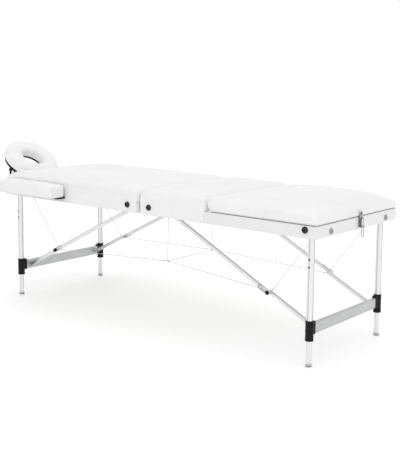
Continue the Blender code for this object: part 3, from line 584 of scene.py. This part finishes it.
# %% Backrest pad
def make_backrest():
    start, end = low("backrest_pad"), high("backrest_pad")
    nose = TILT.x - start.x
    corner_low = np.array([start.x, start.y - 0.001, low("backrest_board").z - 0.0003])
    corner_high = np.array([end.x + 0.003, end.y + 0.001, end.z + 0.002])
    points, faces = block_lattice(stations(corner_low[0], corner_high[0], SOFT_EDGE, CELL),
                                  stations(corner_low[1], corner_high[1], SOFT_EDGE, CELL),
                                  stations(corner_low[2], corner_high[2], SOFT_EDGE * 0.9, CELL))
    square = points.copy()
    points = round_block(points, corner_low, corner_high, SOFT_EDGE)
    points = crown(points, corner_low, corner_high, 0.009)
    nose_left_out = corner_low - np.array([1.0, 0, 0])
    points = roll_edges(points, nose_left_out, corner_high, corner_low[2] + 0.004, 0.090, 0.36, 0.36)
    in_nose = square[:, 0] < TILT.x
    u = np.clip((square[:, 0] - TILT.x) / nose, -1, 0)
    v = np.clip((square[:, 2] - TILT.z) / (corner_high[2] - TILT.z), -1, 1)
    disc_x = TILT.x + nose * u * np.sqrt(1 - v ** 2 / 2)
    disc_z = TILT.z + (corner_high[2] - TILT.z) * v * np.sqrt(1 - u ** 2 / 2)
    edge = np.clip((np.abs(square[:, 1]) - (corner_high[1] - SOFT_EDGE)) / SOFT_EDGE, 0, 1)
    pull = 1 - 0.35 * edge ** 2
    points[in_nose, 0] = (TILT.x + (disc_x - TILT.x) * pull)[in_nose]
    points[in_nose, 2] = (TILT.z + (disc_z - TILT.z) * pull)[in_nose]
    pad = new_piece("backrest_cover", points, faces, VINYL)
    held = (points[:, 2] < start.z + 0.010) | (points[:, 0] < TILT.x + 0.01)
    inflate(pad, held, 2.0, 0.006)
    refine(pad)
    bind(pad, "backrest", "backrest_pad", "backrest_board")


make_backrest()

# %% [markdown]
# ## Armrests and face cushion
# The armrests are long cushions on black angle plates. The face rest is an oval ring: its section is a
# superellipse carried round an ellipse, tilted up towards its outer end, and then inflated.

# %% Armrests
ARMREST_EDGE, ARMREST_CELL = 0.014, 0.011


def make_armrest(side):
    node = f"armrest_pad_{side}"
    start, end = low(node), high(node)
    corner_low, corner_high = np.array(start), np.array(end)
    cuts = [stations(a, b, ARMREST_EDGE, ARMREST_CELL) for a, b in zip(corner_low, corner_high)]
    points, faces = block_lattice(*cuts)
    points = round_block(points, corner_low, corner_high, ARMREST_EDGE)
    points = crown(points, corner_low, corner_high, 0.004)
    pad = new_piece(f"armrest_cushion_{side}", points, faces, VINYL)
    inflate(pad, points[:, 2] < start.z + 0.010, 2.0, 0.004)
    refine(pad)
    bind(pad, f"armrest_{side}", node)


for side_name in ("near", "far"):
    make_armrest(side_name)


# %% Face cushion
FACE_TILT = math.radians(32)
FACE_PIVOT = Vector(JOINTS["face_rest_tilt"]["pos_m"])
FACE_HALF_WIDTH = (high("face_cushion").y - low("face_cushion").y) / 2
FACE_HALF_LENGTH = 0.150
FACE_RING = 0.092
FACE_LOW, FACE_HIGH = 0.0225, 0.0890


def face_place(across, along, up):
    """From the face rest's own directions to the frame: along runs outward and up by the tilt."""
    x = FACE_PIVOT.x - along * math.cos(FACE_TILT) + up * math.sin(FACE_TILT)
    z = FACE_PIVOT.z + along * math.sin(FACE_TILT) + up * math.cos(FACE_TILT)
    return np.stack([x, FACE_PIVOT.y + across, z], -1)


def grid_faces(rows, sides, wrap=None):
    """Quads between neighbouring rings of points; wrap is the number of rings on a closed path."""
    i, j = np.meshgrid(np.arange(rows), np.arange(sides), indexing="ij")

    def at(a, b):
        ring = (i + a) % wrap if wrap else i + a
        return ring * sides + (j + b) % sides

    return np.stack([at(0, 0), at(0, 1), at(1, 1), at(1, 0)], -1).reshape(-1, 4)


def ring_surface(half_width, half_length, ring, bottom, top, squareness, around=96, section=28):
    """An ellipse carrying a superelliptic section: cos and sin of the section raised to a power."""
    way, angle = np.meshgrid(np.linspace(0, 2 * np.pi, around, endpoint=False),
                             np.linspace(0, 2 * np.pi, section, endpoint=False), indexing="ij")
    across = np.sign(np.cos(angle)) * np.abs(np.cos(angle)) ** squareness * ring / 2
    rise = np.sign(np.sin(angle)) * np.abs(np.sin(angle)) ** squareness
    up = (bottom + top) / 2 + rise * (top - bottom) / 2
    points = face_place((half_width - ring / 2 + across) * np.cos(way),
                        (half_length - ring / 2 + across) * np.sin(way), up).reshape(-1, 3)
    return points, grid_faces(around, section, around), up.ravel()


def facing_out(piece):
    """Turns every face outward on a closed piece."""
    shape = bmesh.new()
    shape.from_mesh(piece.data)
    bmesh.ops.recalc_face_normals(shape, faces=shape.faces)
    shape.to_mesh(piece.data)
    shape.free()
    return piece


ring_points, ring_faces, ring_up = ring_surface(FACE_HALF_WIDTH, FACE_HALF_LENGTH, FACE_RING, FACE_LOW,
                                                FACE_HIGH, 0.78)
face_ring = facing_out(new_piece("face_rest_cushion", ring_points, ring_faces, VINYL))
inflate(face_ring, ring_up < FACE_LOW + 0.008, 2.5, 0.004)
refine(face_ring)
bind(face_ring, "face_rest", "face_cushion")
print("armrests and face cushion done")

# %% [markdown]
# ## Seams and shadow lines
# Piping is a thin welt sewn where two sheets of vinyl meet. It follows the armrests' lower edges and the
# outer and inner edge of the face ring. A cord along a path is a circle carried on frames that turn as
# little as possible: each frame is the last one with the new tangent taken out of it.


# %% Carrying a section along a path
def resample(path, step):
    """Points at equal steps of arc length along a polyline."""
    path = np.asarray(path, float)
    length = np.concatenate([[0], np.cumsum(np.linalg.norm(np.diff(path, axis=0), axis=1))])
    marks = np.linspace(0, length[-1], max(2, int(round(length[-1] / step)) + 1))
    return np.stack([np.interp(marks, length, path[:, k]) for k in range(3)], 1)


def carried(path, radius, sides=12, closed=False, lay=None):
    """A tube: p + r (cos a n + sin a b) round each point; lay gives strands of a laid wire.

    With lay = (strands, pitch), r is multiplied by 0.86 + 0.14 |cos(strands (a - 2 pi s / pitch) / 2)|.
    """
    path = np.asarray(path, float)
    ahead = np.roll(path, -1, 0) - np.roll(path, 1, 0)
    if not closed:
        ahead[0], ahead[-1] = path[1] - path[0], path[-1] - path[-2]
    ahead /= np.linalg.norm(ahead, axis=1, keepdims=True)
    normal = np.zeros_like(path)
    start = np.array([0, 0, 1.0]) if abs(ahead[0, 2]) < 0.9 else np.array([0, 1.0, 0])
    for k, tangent in enumerate(ahead):
        start = start - tangent * start.dot(tangent)
        start /= np.linalg.norm(start)
        normal[k] = start
    side = np.cross(ahead, normal)
    angle = np.linspace(0, 2 * np.pi, sides, endpoint=False)
    along = np.concatenate([[0], np.cumsum(np.linalg.norm(np.diff(path, axis=0), axis=1))])
    size = np.full((len(path), sides), radius)
    if lay:
        twist = lay[0] * (angle[None] - 2 * np.pi * along[:, None] / lay[1]) / 2
        size = radius * (0.86 + 0.14 * np.abs(np.cos(twist)))
    ring = np.cos(angle)[None, :, None] * normal[:, None] + np.sin(angle)[None, :, None] * side[:, None]
    points = (path[:, None] + size[..., None] * ring).reshape(-1, 3)
    faces = grid_faces(len(path) - (not closed), sides, len(path)).tolist()
    if not closed:
        faces += [list(range(sides))[::-1], [(len(path) - 1) * sides + k for k in range(sides)]]
    return points, faces


def cord_piece(name, path, radius, material, body, sides):
    """A round cord along a closed path."""
    shape = carried(path, radius, sides, closed=True)
    return bind(facing_out(new_piece(name, *shape, material)), body)


# %% Piping
PIPING_RADIUS = 0.0014
SEAM_INSET = 0.0015        # how far the ring's seams lie inside its outline


def plan_outline(corner_low, corner_high, radius, z, steps=8):
    """A rectangle with round corners in plan, as a closed path at one height."""
    turn_angle = np.linspace(0, np.pi / 2, steps)
    parts = []
    for k, (x, y) in enumerate(((corner_high[0] - radius, corner_high[1] - radius),
                                (corner_low[0] + radius, corner_high[1] - radius),
                                (corner_low[0] + radius, corner_low[1] + radius),
                                (corner_high[0] - radius, corner_low[1] + radius))):
        angle = turn_angle + k * np.pi / 2
        parts.append(np.stack([x + radius * np.cos(angle), y + radius * np.sin(angle), np.full(steps, z)], 1))
    return np.concatenate(parts)


def close_even(path, step):
    """Equal steps round a closed path, the repeated last point left out."""
    return resample(np.concatenate([path, path[:1]]), step)[:-1]


for side_name in ("near", "far"):
    pad_low, pad_high = low(f"armrest_pad_{side_name}"), high(f"armrest_pad_{side_name}")
    outline = plan_outline(pad_low, pad_high, ARMREST_EDGE, pad_low.z + ARMREST_EDGE)
    cord_piece(f"armrest_piping_{side_name}", close_even(outline, 0.006), PIPING_RADIUS, VINYL_PIPING,
               f"armrest_{side_name}", 8)

round_way = np.linspace(0, 2 * np.pi, 120, endpoint=False)
for label, half_width, half_length in (("outer", FACE_HALF_WIDTH - SEAM_INSET, FACE_HALF_LENGTH - SEAM_INSET),
                                       ("inner", FACE_HALF_WIDTH - FACE_RING + SEAM_INSET,
                                        FACE_HALF_LENGTH - FACE_RING + SEAM_INSET)):
    ring_path = face_place(half_width * np.cos(round_way), half_length * np.sin(round_way),
                           np.full(120, (FACE_LOW + FACE_HIGH) / 2 - 0.012))
    cord_piece(f"face_ring_seam_{label}", ring_path, PIPING_RADIUS, VINYL_PIPING, "face_rest", 8)
print("piping done")

# %% [markdown]
# ## Bracing wires
# Each end has two wires on a side, from the legs' axle and from a junction under the fold to the knee of
# the folding brace, and the junctions hang from a wire in the middle. They are laid steel wire, held
# taut at both ends by crimped ferrules, so each span is straight. Each wire rides on one of the two
# halves of the couch.

# %% Wires
CABLE_RADIUS = 0.0012
WIRE_SIDES = 15
WIRE_LAY = (5, 0.016)      # strands, and the length of one turn
JUNCTION_X = 0.030
JUNCTION_Y = 0.1699
JUNCTION_Z = FOLD.z - 0.235
KNEE_X, KNEE_Z = 0.650, 0.2546
KNEE_CABLE_Y = 0.2179
AXLE_X, AXLE_Z = 0.872, 0.5330
FERRULE = ((0, 0.0012), (0, 0.0020), (0.0006, 0.0023), (0.0034, 0.0023), (0.0038, 0.0019), (0.0050, 0.0019),
           (0.0054, 0.0023), (0.0082, 0.0023), (0.0088, 0.0020), (0.0088, 0.0012))
FERRULE_SET_BACK = 0.010


def turned(profile, start, direction, sides=28):
    """A profile of (distance, radius) pairs turned about an axis, its poles closed with one point each."""
    axis = np.asarray(direction, float) / np.linalg.norm(direction)
    first = np.cross(axis, [0, 0, 1.0] if abs(axis[2]) < 0.9 else [1.0, 0, 0])
    first /= np.linalg.norm(first)
    second = np.cross(axis, first)
    angle = np.linspace(0, 2 * np.pi, sides, endpoint=False)
    ring = np.cos(angle)[:, None] * first + np.sin(angle)[:, None] * second
    away, radius = np.array(profile, float).T
    rings = np.asarray(start) + away[:, None, None] * axis + radius[:, None, None] * ring
    points = np.concatenate([rings.reshape(-1, 3), [np.asarray(start) + away[0] * axis,
                                                   np.asarray(start) + away[-1] * axis]])
    faces = grid_faces(len(away) - 1, sides).tolist()
    last = (len(away) - 1) * sides
    pole = len(points) - 2
    faces += [[pole, (k + 1) % sides, k] for k in range(sides)]
    faces += [[pole + 1, last + k, last + (k + 1) % sides] for k in range(sides)]
    return points, faces


def turned_piece(name, profile, start, direction, material, body, sides=28):
    shape = turned(profile, start, direction, sides)
    return bind(facing_out(new_piece(name, *shape, material)), body)


def merged_piece(name, shapes, material, body):
    """Several closed shapes in one piece."""
    points, faces, base = [], [], 0
    for shape_points, shape_faces in shapes:
        points.append(np.asarray(shape_points))
        faces += [[index + base for index in face] for face in shape_faces]
        base += len(shape_points)
    return bind(facing_out(new_piece(name, np.concatenate(points), faces, material)), body)


def tuck(piece):
    """Gives a wire its own copy of its mesh.
    """
    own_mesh(piece)


def span(name, start, end, end_sign, kind, node):
    """One straight laid wire with a crimped ferrule at each end."""
    start, end = np.asarray(start, float), np.asarray(end, float)
    way = (end - start) / np.linalg.norm(end - start)
    set_back = FERRULE_SET_BACK + FERRULE[-1][0]
    shapes = [carried(resample([start, end], 0.005), CABLE_RADIUS, WIRE_SIDES, lay=WIRE_LAY),
              turned(FERRULE, start + way * FERRULE_SET_BACK, way, 12),
              turned(FERRULE, end - way * set_back, way, 12)]
    made = merged_piece(name, shapes, CABLE, "seat_half" if end_sign > 0 else "head_half")
    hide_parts(node)
    tuck(made)


print("wire height at the knees", KNEE_Z)

# %% Bracing spans
for side_name, sign in (("near", -1), ("far", 1)):
    knee_foot = (FOLD.x + KNEE_X, sign * KNEE_CABLE_Y, KNEE_Z)
    knee_head = (FOLD.x - KNEE_X, sign * KNEE_CABLE_Y, KNEE_Z)
    junction = (FOLD.x + JUNCTION_X, sign * JUNCTION_Y, JUNCTION_Z)
    middle = (FOLD.x, sign * (JUNCTION_Y + 0.0022), JUNCTION_Z - 0.0015)
    axle_foot = (FOLD.x + AXLE_X, sign * KNEE_CABLE_Y, AXLE_Z)
    axle_head = (FOLD.x - AXLE_X, sign * KNEE_CABLE_Y, AXLE_Z)
    for label, start, end, end_sign, kind in (("foot_leg", axle_foot, knee_foot, 1, "leg"),
                                              ("foot_middle", junction, knee_foot, 1, "middle"),
                                              ("middle", junction, middle, 1, "middle"),
                                              ("head_middle", middle, knee_head, -1, "middle"),
                                              ("head_leg", axle_head, knee_head, -1, "leg")):
        span(f"wire_{label}_{side_name}", start, end, end_sign, kind, f"brace_cable_{side_name}")
drop_top = np.array([FOLD.x + 0.018, 0.150, FOLD.z - 0.0003])
drop_foot = np.array([FOLD.x + JUNCTION_X, 0.167, JUNCTION_Z])
flip = np.array([1, -1, 1])
drop_path = resample([drop_top, drop_foot, drop_foot * flip, drop_top * flip], 0.006)
middle_wire = merged_piece("middle_wire", [carried(drop_path, CABLE_RADIUS, WIRE_SIDES, lay=WIRE_LAY)],
                           CABLE, "seat_half")
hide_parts("centre_cable")
tuck(middle_wire)
print("wires done")

# %% [markdown]
# ## Small hardware
# The knees of the braces have a bright clip plate and a black cap over the pin. Pins and screws are
# turned profiles: a flat disc with a rounded rim and, for a screw, a sunk recess.

# %% Knees of the braces
CAP = ((0, 0.0010), (0, 0.0084), (0.0024, 0.0090), (0.0050, 0.0080), (0.0062, 0.0056), (0.0066, 0.0016))
RIVET = ((0, 0.0010), (0, 0.0050), (0.0010, 0.0052), (0.0022, 0.0040), (0.0028, 0.0012))
FLAT_RIVET = ((0, 0.0010), (0, 0.0050), (0.0006, 0.0050), (0.0011, 0.0036), (0.0012, 0.0012))
BRACE_OUTER_Y = high("brace_upper_foot_far").y
ROOT_X, ROOT_Z = 0.050, 0.5555
TOE_X, TOE_Z = 0.8585, 0.1505
CLIP_REACH, CLIP_HALF = 0.052, 0.0098
CLIP_FACE = 0.0016         # outer face of the clip plate, off the brace
STAND_OFF = 0.0001
# Radius, offset from the link's middle and set-back of the thin dark strips of painted shade along the
# braces' top edges.
TOP_SHADE_RADIUS, TOP_SHADE_OFFSET, TOP_SHADE_SET_BACK = 0.0010, 0.0072, 0.012


def plate(outline, y_start, y_end):
    """A flat outline in x and z given a thickness along y."""
    outline = np.asarray(outline, float)
    count = len(outline)
    points = np.concatenate([np.insert(outline, 1, y_start, axis=1), np.insert(outline, 1, y_end, axis=1)])
    faces = [list(range(count)), list(range(count, 2 * count))[::-1]]
    faces += [[k, (k + 1) % count, (k + 1) % count + count, k + count] for k in range(count)]
    return points, faces


def clip_outline(x, z, direction, reach, half):
    """Half round about the pin, straight along the brace, with cut corners."""
    turn_angle = np.linspace(np.pi / 2, 3 * np.pi / 2, 10)
    cut = reach - half * 0.5
    along = np.concatenate([half * np.cos(turn_angle), [cut, reach, reach, cut]])
    across = np.concatenate([half * np.sin(turn_angle), [-half, -half * 0.5, half * 0.5, half]])
    way = np.array(direction) / np.linalg.norm(direction)
    turned_x = x + along * way[0] - across * way[1]
    return np.stack([turned_x, z + along * way[1] + across * way[0]], 1)


for end_name, end_sign in (("foot", 1), ("head", -1)):
    knee_x = FOLD.x + end_sign * KNEE_X
    uphill = np.array([-end_sign * 0.6, 0.3009])
    body = f"{end_name}_brace_upper"
    for side_name, sign in (("near", -1), ("far", 1)):
        place = f"{end_name}_{side_name}"
        outward = (0, sign, 0)
        face = sign * BRACE_OUTER_Y
        clip_face = face + sign * CLIP_FACE
        clip = plate(clip_outline(knee_x, KNEE_Z, uphill, CLIP_REACH, CLIP_HALF), face + sign * STAND_OFF,
                     clip_face)
        merged_piece(f"knee_clip_{place}", [clip], ZINC, body)
        turned_piece(f"knee_cap_{place}", CAP, (knee_x, clip_face, KNEE_Z), outward, BLACK, body)
        along_link = np.array([uphill[0], 0, uphill[1]]) / np.linalg.norm(uphill)
        spot = np.array([knee_x, 0, KNEE_Z]) + 0.040 * along_link
        turned_piece(f"knee_rivet_{place}", RIVET, (spot[0], clip_face, spot[2]), outward, CHROME, body, 16)
        root = (FOLD.x + end_sign * ROOT_X, face + sign * STAND_OFF, ROOT_Z)
        turned_piece(f"root_rivet_{place}", RIVET, root, outward, CHROME, body, 16)
        toe_face = sign * high(f"brace_lower_{end_name}_far").y + sign * STAND_OFF
        turned_piece(f"foot_rivet_{place}", FLAT_RIVET, (FOLD.x + end_sign * TOE_X, toe_face, TOE_Z), outward,
                     CHROME, f"{end_name}_brace_lower", 16)
# Each brace link gets a thin dark strip along its top edge on both faces: painted shade standing in for the
# shade on the link's top face.
for end_name, end_sign in (("foot", 1), ("head", -1)):
    knee = np.array([FOLD.x + end_sign * KNEE_X, 0, KNEE_Z])
    root = np.array([FOLD.x + end_sign * ROOT_X, 0, ROOT_Z])
    toe = np.array([FOLD.x + end_sign * TOE_X, 0, TOE_Z])
    for link_name, first, last in (("upper", root, knee), ("lower", knee, toe)):
        way = (last - first) / np.linalg.norm(last - first)
        lift = np.array([end_sign * -way[2], 0, end_sign * way[0]]) * TOP_SHADE_OFFSET
        for side_name in ("near", "far"):
            link = f"brace_{link_name}_{end_name}_{side_name}"
            top_shades = []
            for y in (low(link).y, high(link).y):
                shade_start = first + lift + way * TOP_SHADE_SET_BACK + np.array([0, y, 0])
                shade_end = last + lift - way * TOP_SHADE_SET_BACK + np.array([0, y, 0])
                top_shades.append(carried(resample([shade_start, shade_end], 0.05), TOP_SHADE_RADIUS, 8))
            merged_piece(f"brace_rim_{link_name}_{end_name}_{side_name}", top_shades, PAINTED_SHADE,
                         f"{end_name}_brace_{link_name}")
print("knees done")

# %% [markdown]
# ## Legs
# Each telescopic leg shows two spring buttons and four thin dark strips of painted shade along its outer
# tube, and its clamp has three raised collars and two screws. Each foot stands on a rubber sole. The
# crossbars are folded from sheet, with a rolled lip along both edges.

# %% Leg buttons, collars, soles and lips
BUTTON = ((0, 0.0008), (0, 0.0040), (0.0010, 0.0042), (0.0022, 0.0034), (0.0029, 0.0010))
SCREW = ((0, 0.0010), (0, 0.0046), (0.0012, 0.0049), (0.0024, 0.0042), (0.0026, 0.0024), (0.0012, 0.0020),
         (0.0012, 0.0006))
BUTTON_HEIGHTS = (0.430, 0.400)
SHADE_STRIP_RADIUS = 0.0010
COLLAR_LENGTH = 0.0070
LIP_RADIUS = 0.0019


def collar_profile(radius):
    """A shallow band round the clamp with eased edges."""
    band, edge = radius + 0.0010, radius + 0.0006
    return ((0, radius * 0.98), (0, edge), (0.0012, band), (0.0058, band), (COLLAR_LENGTH, edge),
            (COLLAR_LENGTH, radius * 0.98))


for end_name, end_sign in (("foot", 1), ("head", -1)):
    body = f"{end_name}_legs"
    for side_name, sign in (("near", -1), ("far", 1)):
        place = f"{end_name}_{side_name}"
        leg_low, leg_high = low(f"leg_tube_{place}"), high(f"leg_tube_{place}")
        leg_x, leg_y = (leg_low.x + leg_high.x) / 2, (leg_low.y + leg_high.y) / 2
        radius = (leg_high.x - leg_low.x) / 2
        for count, height in enumerate(BUTTON_HEIGHTS):
            spot = (leg_x, leg_y + sign * (radius - 0.0006), height)
            turned_piece(f"leg_button_{place}_{count}", BUTTON, spot, (0, sign, 0), BLACK, body, 16)
        # Four thin dark strips along the outer tube are painted shade, standing in for the shade on the
        # tube's sides.
        shade_strips = []
        for dx, dy in ((1, 0), (-1, 0), (0, 1), (0, -1)):
            line_x, line_y = leg_x + dx * radius, leg_y + dy * radius
            line = [(line_x, line_y, leg_low.z + 0.002), (line_x, line_y, leg_high.z - 0.002)]
            shade_strips.append(carried(resample(line, 0.05), SHADE_STRIP_RADIUS, 8))
        merged_piece(f"leg_shade_strips_{place}", shade_strips, PAINTED_SHADE, body)
        clamp_low, clamp_high = low(f"leg_clamp_{place}"), high(f"leg_clamp_{place}")
        clamp_radius = (clamp_high.x - clamp_low.x) / 2
        heights = (clamp_low.z + 0.0005, (clamp_low.z + clamp_high.z) / 2 - 0.0035, clamp_high.z - 0.0075)
        collars = [turned(collar_profile(clamp_radius), (leg_x, leg_y, z), (0, 0, 1), 36) for z in heights]
        merged_piece(f"clamp_collars_{place}", collars, BLACK, body)
        for count, height in enumerate((clamp_low.z + 0.018, clamp_high.z - 0.018)):
            spot = (leg_x + end_sign * (clamp_radius - 0.0008), leg_y, height)
            turned_piece(f"clamp_screw_{place}_{count}", SCREW, spot, (end_sign, 0, 0), BLACK, body, 18)
    for side_name in ("near", "far"):
        place = f"{end_name}_{side_name}"
        cap_low, cap_high = low(f"leg_foot_{place}"), high(f"leg_foot_{place}")
        sole = (cap_high.x - cap_low.x) / 2
        profile = ((0, 0.001), (0, sole * 0.9), (0.0008, sole + 0.0004), (0.0030, sole + 0.0005),
                   (0.0036, sole * 0.98), (0.0036, 0.001))
        spot = ((cap_low.x + cap_high.x) / 2, (cap_low.y + cap_high.y) / 2, cap_low.z)
        turned_piece(f"sole_{place}", profile, spot, (0, 0, 1), RUBBER, f"leg_extension_{place}")
    bar_low, bar_high = low(f"{end_name}_crossbar"), high(f"{end_name}_crossbar")
    face_x = (bar_high.x if end_sign > 0 else bar_low.x) - end_sign * 0.0004
    lips = []
    for z in (bar_low.z + 0.0035, bar_high.z - 0.0035):
        lip_ends = [(face_x, y, z) for y in (bar_low.y + 0.002, bar_high.y - 0.002)]
        lips.append(carried(resample(lip_ends, 0.02), LIP_RADIUS, 10))
    merged_piece(f"{end_name}_crossbar_lips", lips, BAR_ALUMINIUM, body)
print("legs done")


# %% Armrest mounts
MOUNT_INNER_Y = 0.3320
MOUNT_WALL = 0.0060
LEDGE_REACH = 0.046
UPRIGHT_SHORTER = 0.035
PEG = ((0, 0.001), (0, 0.0044), (0.0008, 0.0050), (0.080, 0.0050), (0.080, 0.001))
PEG_Y, PEG_Z = 0.2525, 0.5605


def make_armrest_mount(side, sign):
    """An angle plate with two pegs: an upright that stops short of the pad, and a ledge under the pad."""
    node = f"armrest_bracket_{side}"
    start, end = low(node), high(node)
    pad_low, pad_high = low(f"armrest_pad_{side}"), high(f"armrest_pad_{side}")
    inner = sign * MOUNT_INNER_Y
    shapes = []
    for x_end, y_reach, z_high in ((end.x - UPRIGHT_SHORTER, MOUNT_WALL, end.z),
                                   (end.x, LEDGE_REACH, pad_low.z - 0.0003)):
        y_low, y_high = sorted((inner, inner + sign * y_reach))
        corner_low, corner_high = (start.x, y_low, start.z), (x_end, y_high, z_high)
        cuts = [stations(a, b, 0.002, 0.1) for a, b in zip(corner_low, corner_high)]
        points, faces = block_lattice(*cuts)
        shapes.append((round_block(points, corner_low, corner_high, 0.0016), faces.tolist()))
    for x in (pad_low.x + 0.070, pad_high.x - 0.070):
        shapes.append(turned(PEG, (x, sign * PEG_Y, PEG_Z), (0, sign, 0), 20))
    mount = merged_piece(f"armrest_mount_{side}", shapes, BLACK, f"armrest_{side}")
    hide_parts(node)


for side_name, sign in (("near", -1), ("far", 1)):
    make_armrest_mount(side_name, sign)
print("armrest mounts done")

# %% [markdown]
# ## Fittings on the rails
# The suitcase feet are domed rubber buttons, each held by a screw. Each end has a pair of eyelets, and
# the foot end carries the draw latch: a plate, a dark body with a bright strip and a tongue above it,
# each an outline with rounded corners given a thickness, and a wire bail that hangs on its own joint.

# %% Suitcase feet, eyelets and latch
FOOT_SCREW = ((0, 0.0005), (0, 0.0042), (0.0006, 0.0044), (0.0012, 0.0036), (0.0007, 0.0018),
              (0.0007, 0.0005))
EYELET = ((0, 0.0030), (0, 0.0112), (0.0014, 0.0124), (0.0034, 0.0118), (0.0052, 0.0094), (0.0058, 0.0072),
          (0.0050, 0.0060), (0.0022, 0.0054), (0.0022, 0.0010))
LATCH_RIVET = ((0, 0.0005), (0, 0.0024), (0.0006, 0.0025), (0.0012, 0.0016), (0.0013, 0.0005))
TONGUE_PIN = ((0, 0.0008), (0, 0.0034), (0.0010, 0.0036), (0.0020, 0.0026), (0.0022, 0.0008))
EYELET_Y, EYELET_Z = 0.222, 0.541
TONGUE_TOP, TONGUE_PIN_Z = 0.5945, 0.5850
for node_name in [name for name in frame["nodes"] if name.startswith("suitcase_foot_")]:
    foot_low, foot_high = low(node_name), high(node_name)
    spot = ((foot_low.x + foot_high.x) / 2, foot_low.y + 0.0004, (foot_low.z + foot_high.z) / 2)
    body = "seat_half" if "_seat_" in node_name else "head_half"
    turned_piece(f"{node_name}_screw", FOOT_SCREW, spot, (0, -1, 0), BLACK, body, 18)
foot_face_x, head_face_x = high("seat_frame").x + 0.0001, low("head_frame").x - 0.0018
for end_name, face_x, outward, body in (("end", foot_face_x, 1, "seat_half"),
                                        ("head", head_face_x, -1, "head_half")):
    for side_name, y in (("near", -EYELET_Y), ("far", EYELET_Y)):
        turned_piece(f"{end_name}_eyelet_{side_name}", EYELET, (face_x, y, EYELET_Z), (outward, 0, 0),
                     FITTING, body)
latch_low, latch_high = low("latch_plate"), high("latch_plate")
for side_name, y in (("near", latch_low.y + 0.005), ("far", latch_high.y - 0.005)):
    turned_piece(f"latch_rivet_{side_name}", LATCH_RIVET, (latch_high.x, y, latch_low.z + 0.0055), (1, 0, 0),
                 CHROME, "seat_half", 14)


def end_plate(name, y_half, heights, depths, radius, material):
    """A plate standing on the end face, its corners rounded, its outline on y and z."""
    outline = plan_outline((-y_half, heights[0]), (y_half, heights[1]), radius, 0.0, 7)[:, :2]
    count = len(outline)
    middle = outline.mean(0)
    shrunk = middle + (outline - middle) * 0.90
    layers = [np.insert(outline, 0, depths[0], axis=1), np.insert(outline, 0, depths[1] - 0.0008, axis=1),
              np.insert(shrunk, 0, depths[1], axis=1)]
    faces = [list(range(count)), [2 * count + k for k in range(count)][::-1]]
    for start in (0, count):
        faces += [[start + k, start + (k + 1) % count, start + count + (k + 1) % count, start + count + k]
                  for k in range(count)]
    made = facing_out(new_piece(name, np.concatenate(layers), faces, material, smooth=False))
    return bind(made, "seat_half")


tongue_back, tongue_front = latch_high.x + 0.0032, latch_high.x + 0.0058
end_plate("latch_tongue", 0.0100, (latch_high.z - 0.012, TONGUE_TOP), (tongue_back, tongue_front), 0.0090,
          FITTING)
turned_piece("latch_tongue_pin", TONGUE_PIN, (tongue_front, 0.0, TONGUE_PIN_Z), (1, 0, 0), DARK_STEEL,
             "seat_half", 16)
lever_low, lever_high = low("latch_lever"), high("latch_lever")
lever = end_plate("latch_body", 0.0115, (lever_low.z, lever_high.z), (lever_low.x, lever_high.x), 0.0045,
                  DARK_STEEL)
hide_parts("latch_lever")
end_plate("latch_strip", 0.0042, (lever_low.z + 0.004, lever_high.z - 0.004),
          (lever_high.x - 0.0002, lever_high.x + 0.0012), 0.0030, CHROME)
bail_low, bail_high = low("latch_bail"), high("latch_bail")
bail_x = (bail_low.x + bail_high.x) / 2
bail_top = bail_high.z - 0.0015
BAIL_HALF, BAIL_STEPS = 0.0085, 17
bend = np.linspace(0, np.pi, BAIL_STEPS)
bow = np.stack([np.full(BAIL_STEPS, bail_x), BAIL_HALF * np.cos(bend),
                bail_low.z + 0.0100 - BAIL_HALF * np.sin(bend)], 1)
bail_path = np.concatenate([[[bail_x, BAIL_HALF, bail_top]], bow, [[bail_x, -BAIL_HALF, bail_top]]])
bail = cord_piece("latch_wire", close_even(bail_path, 0.0016), 0.0017, BAIL_STEEL, "latch_bail", 10)
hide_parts("latch_bail")
print("fittings done")
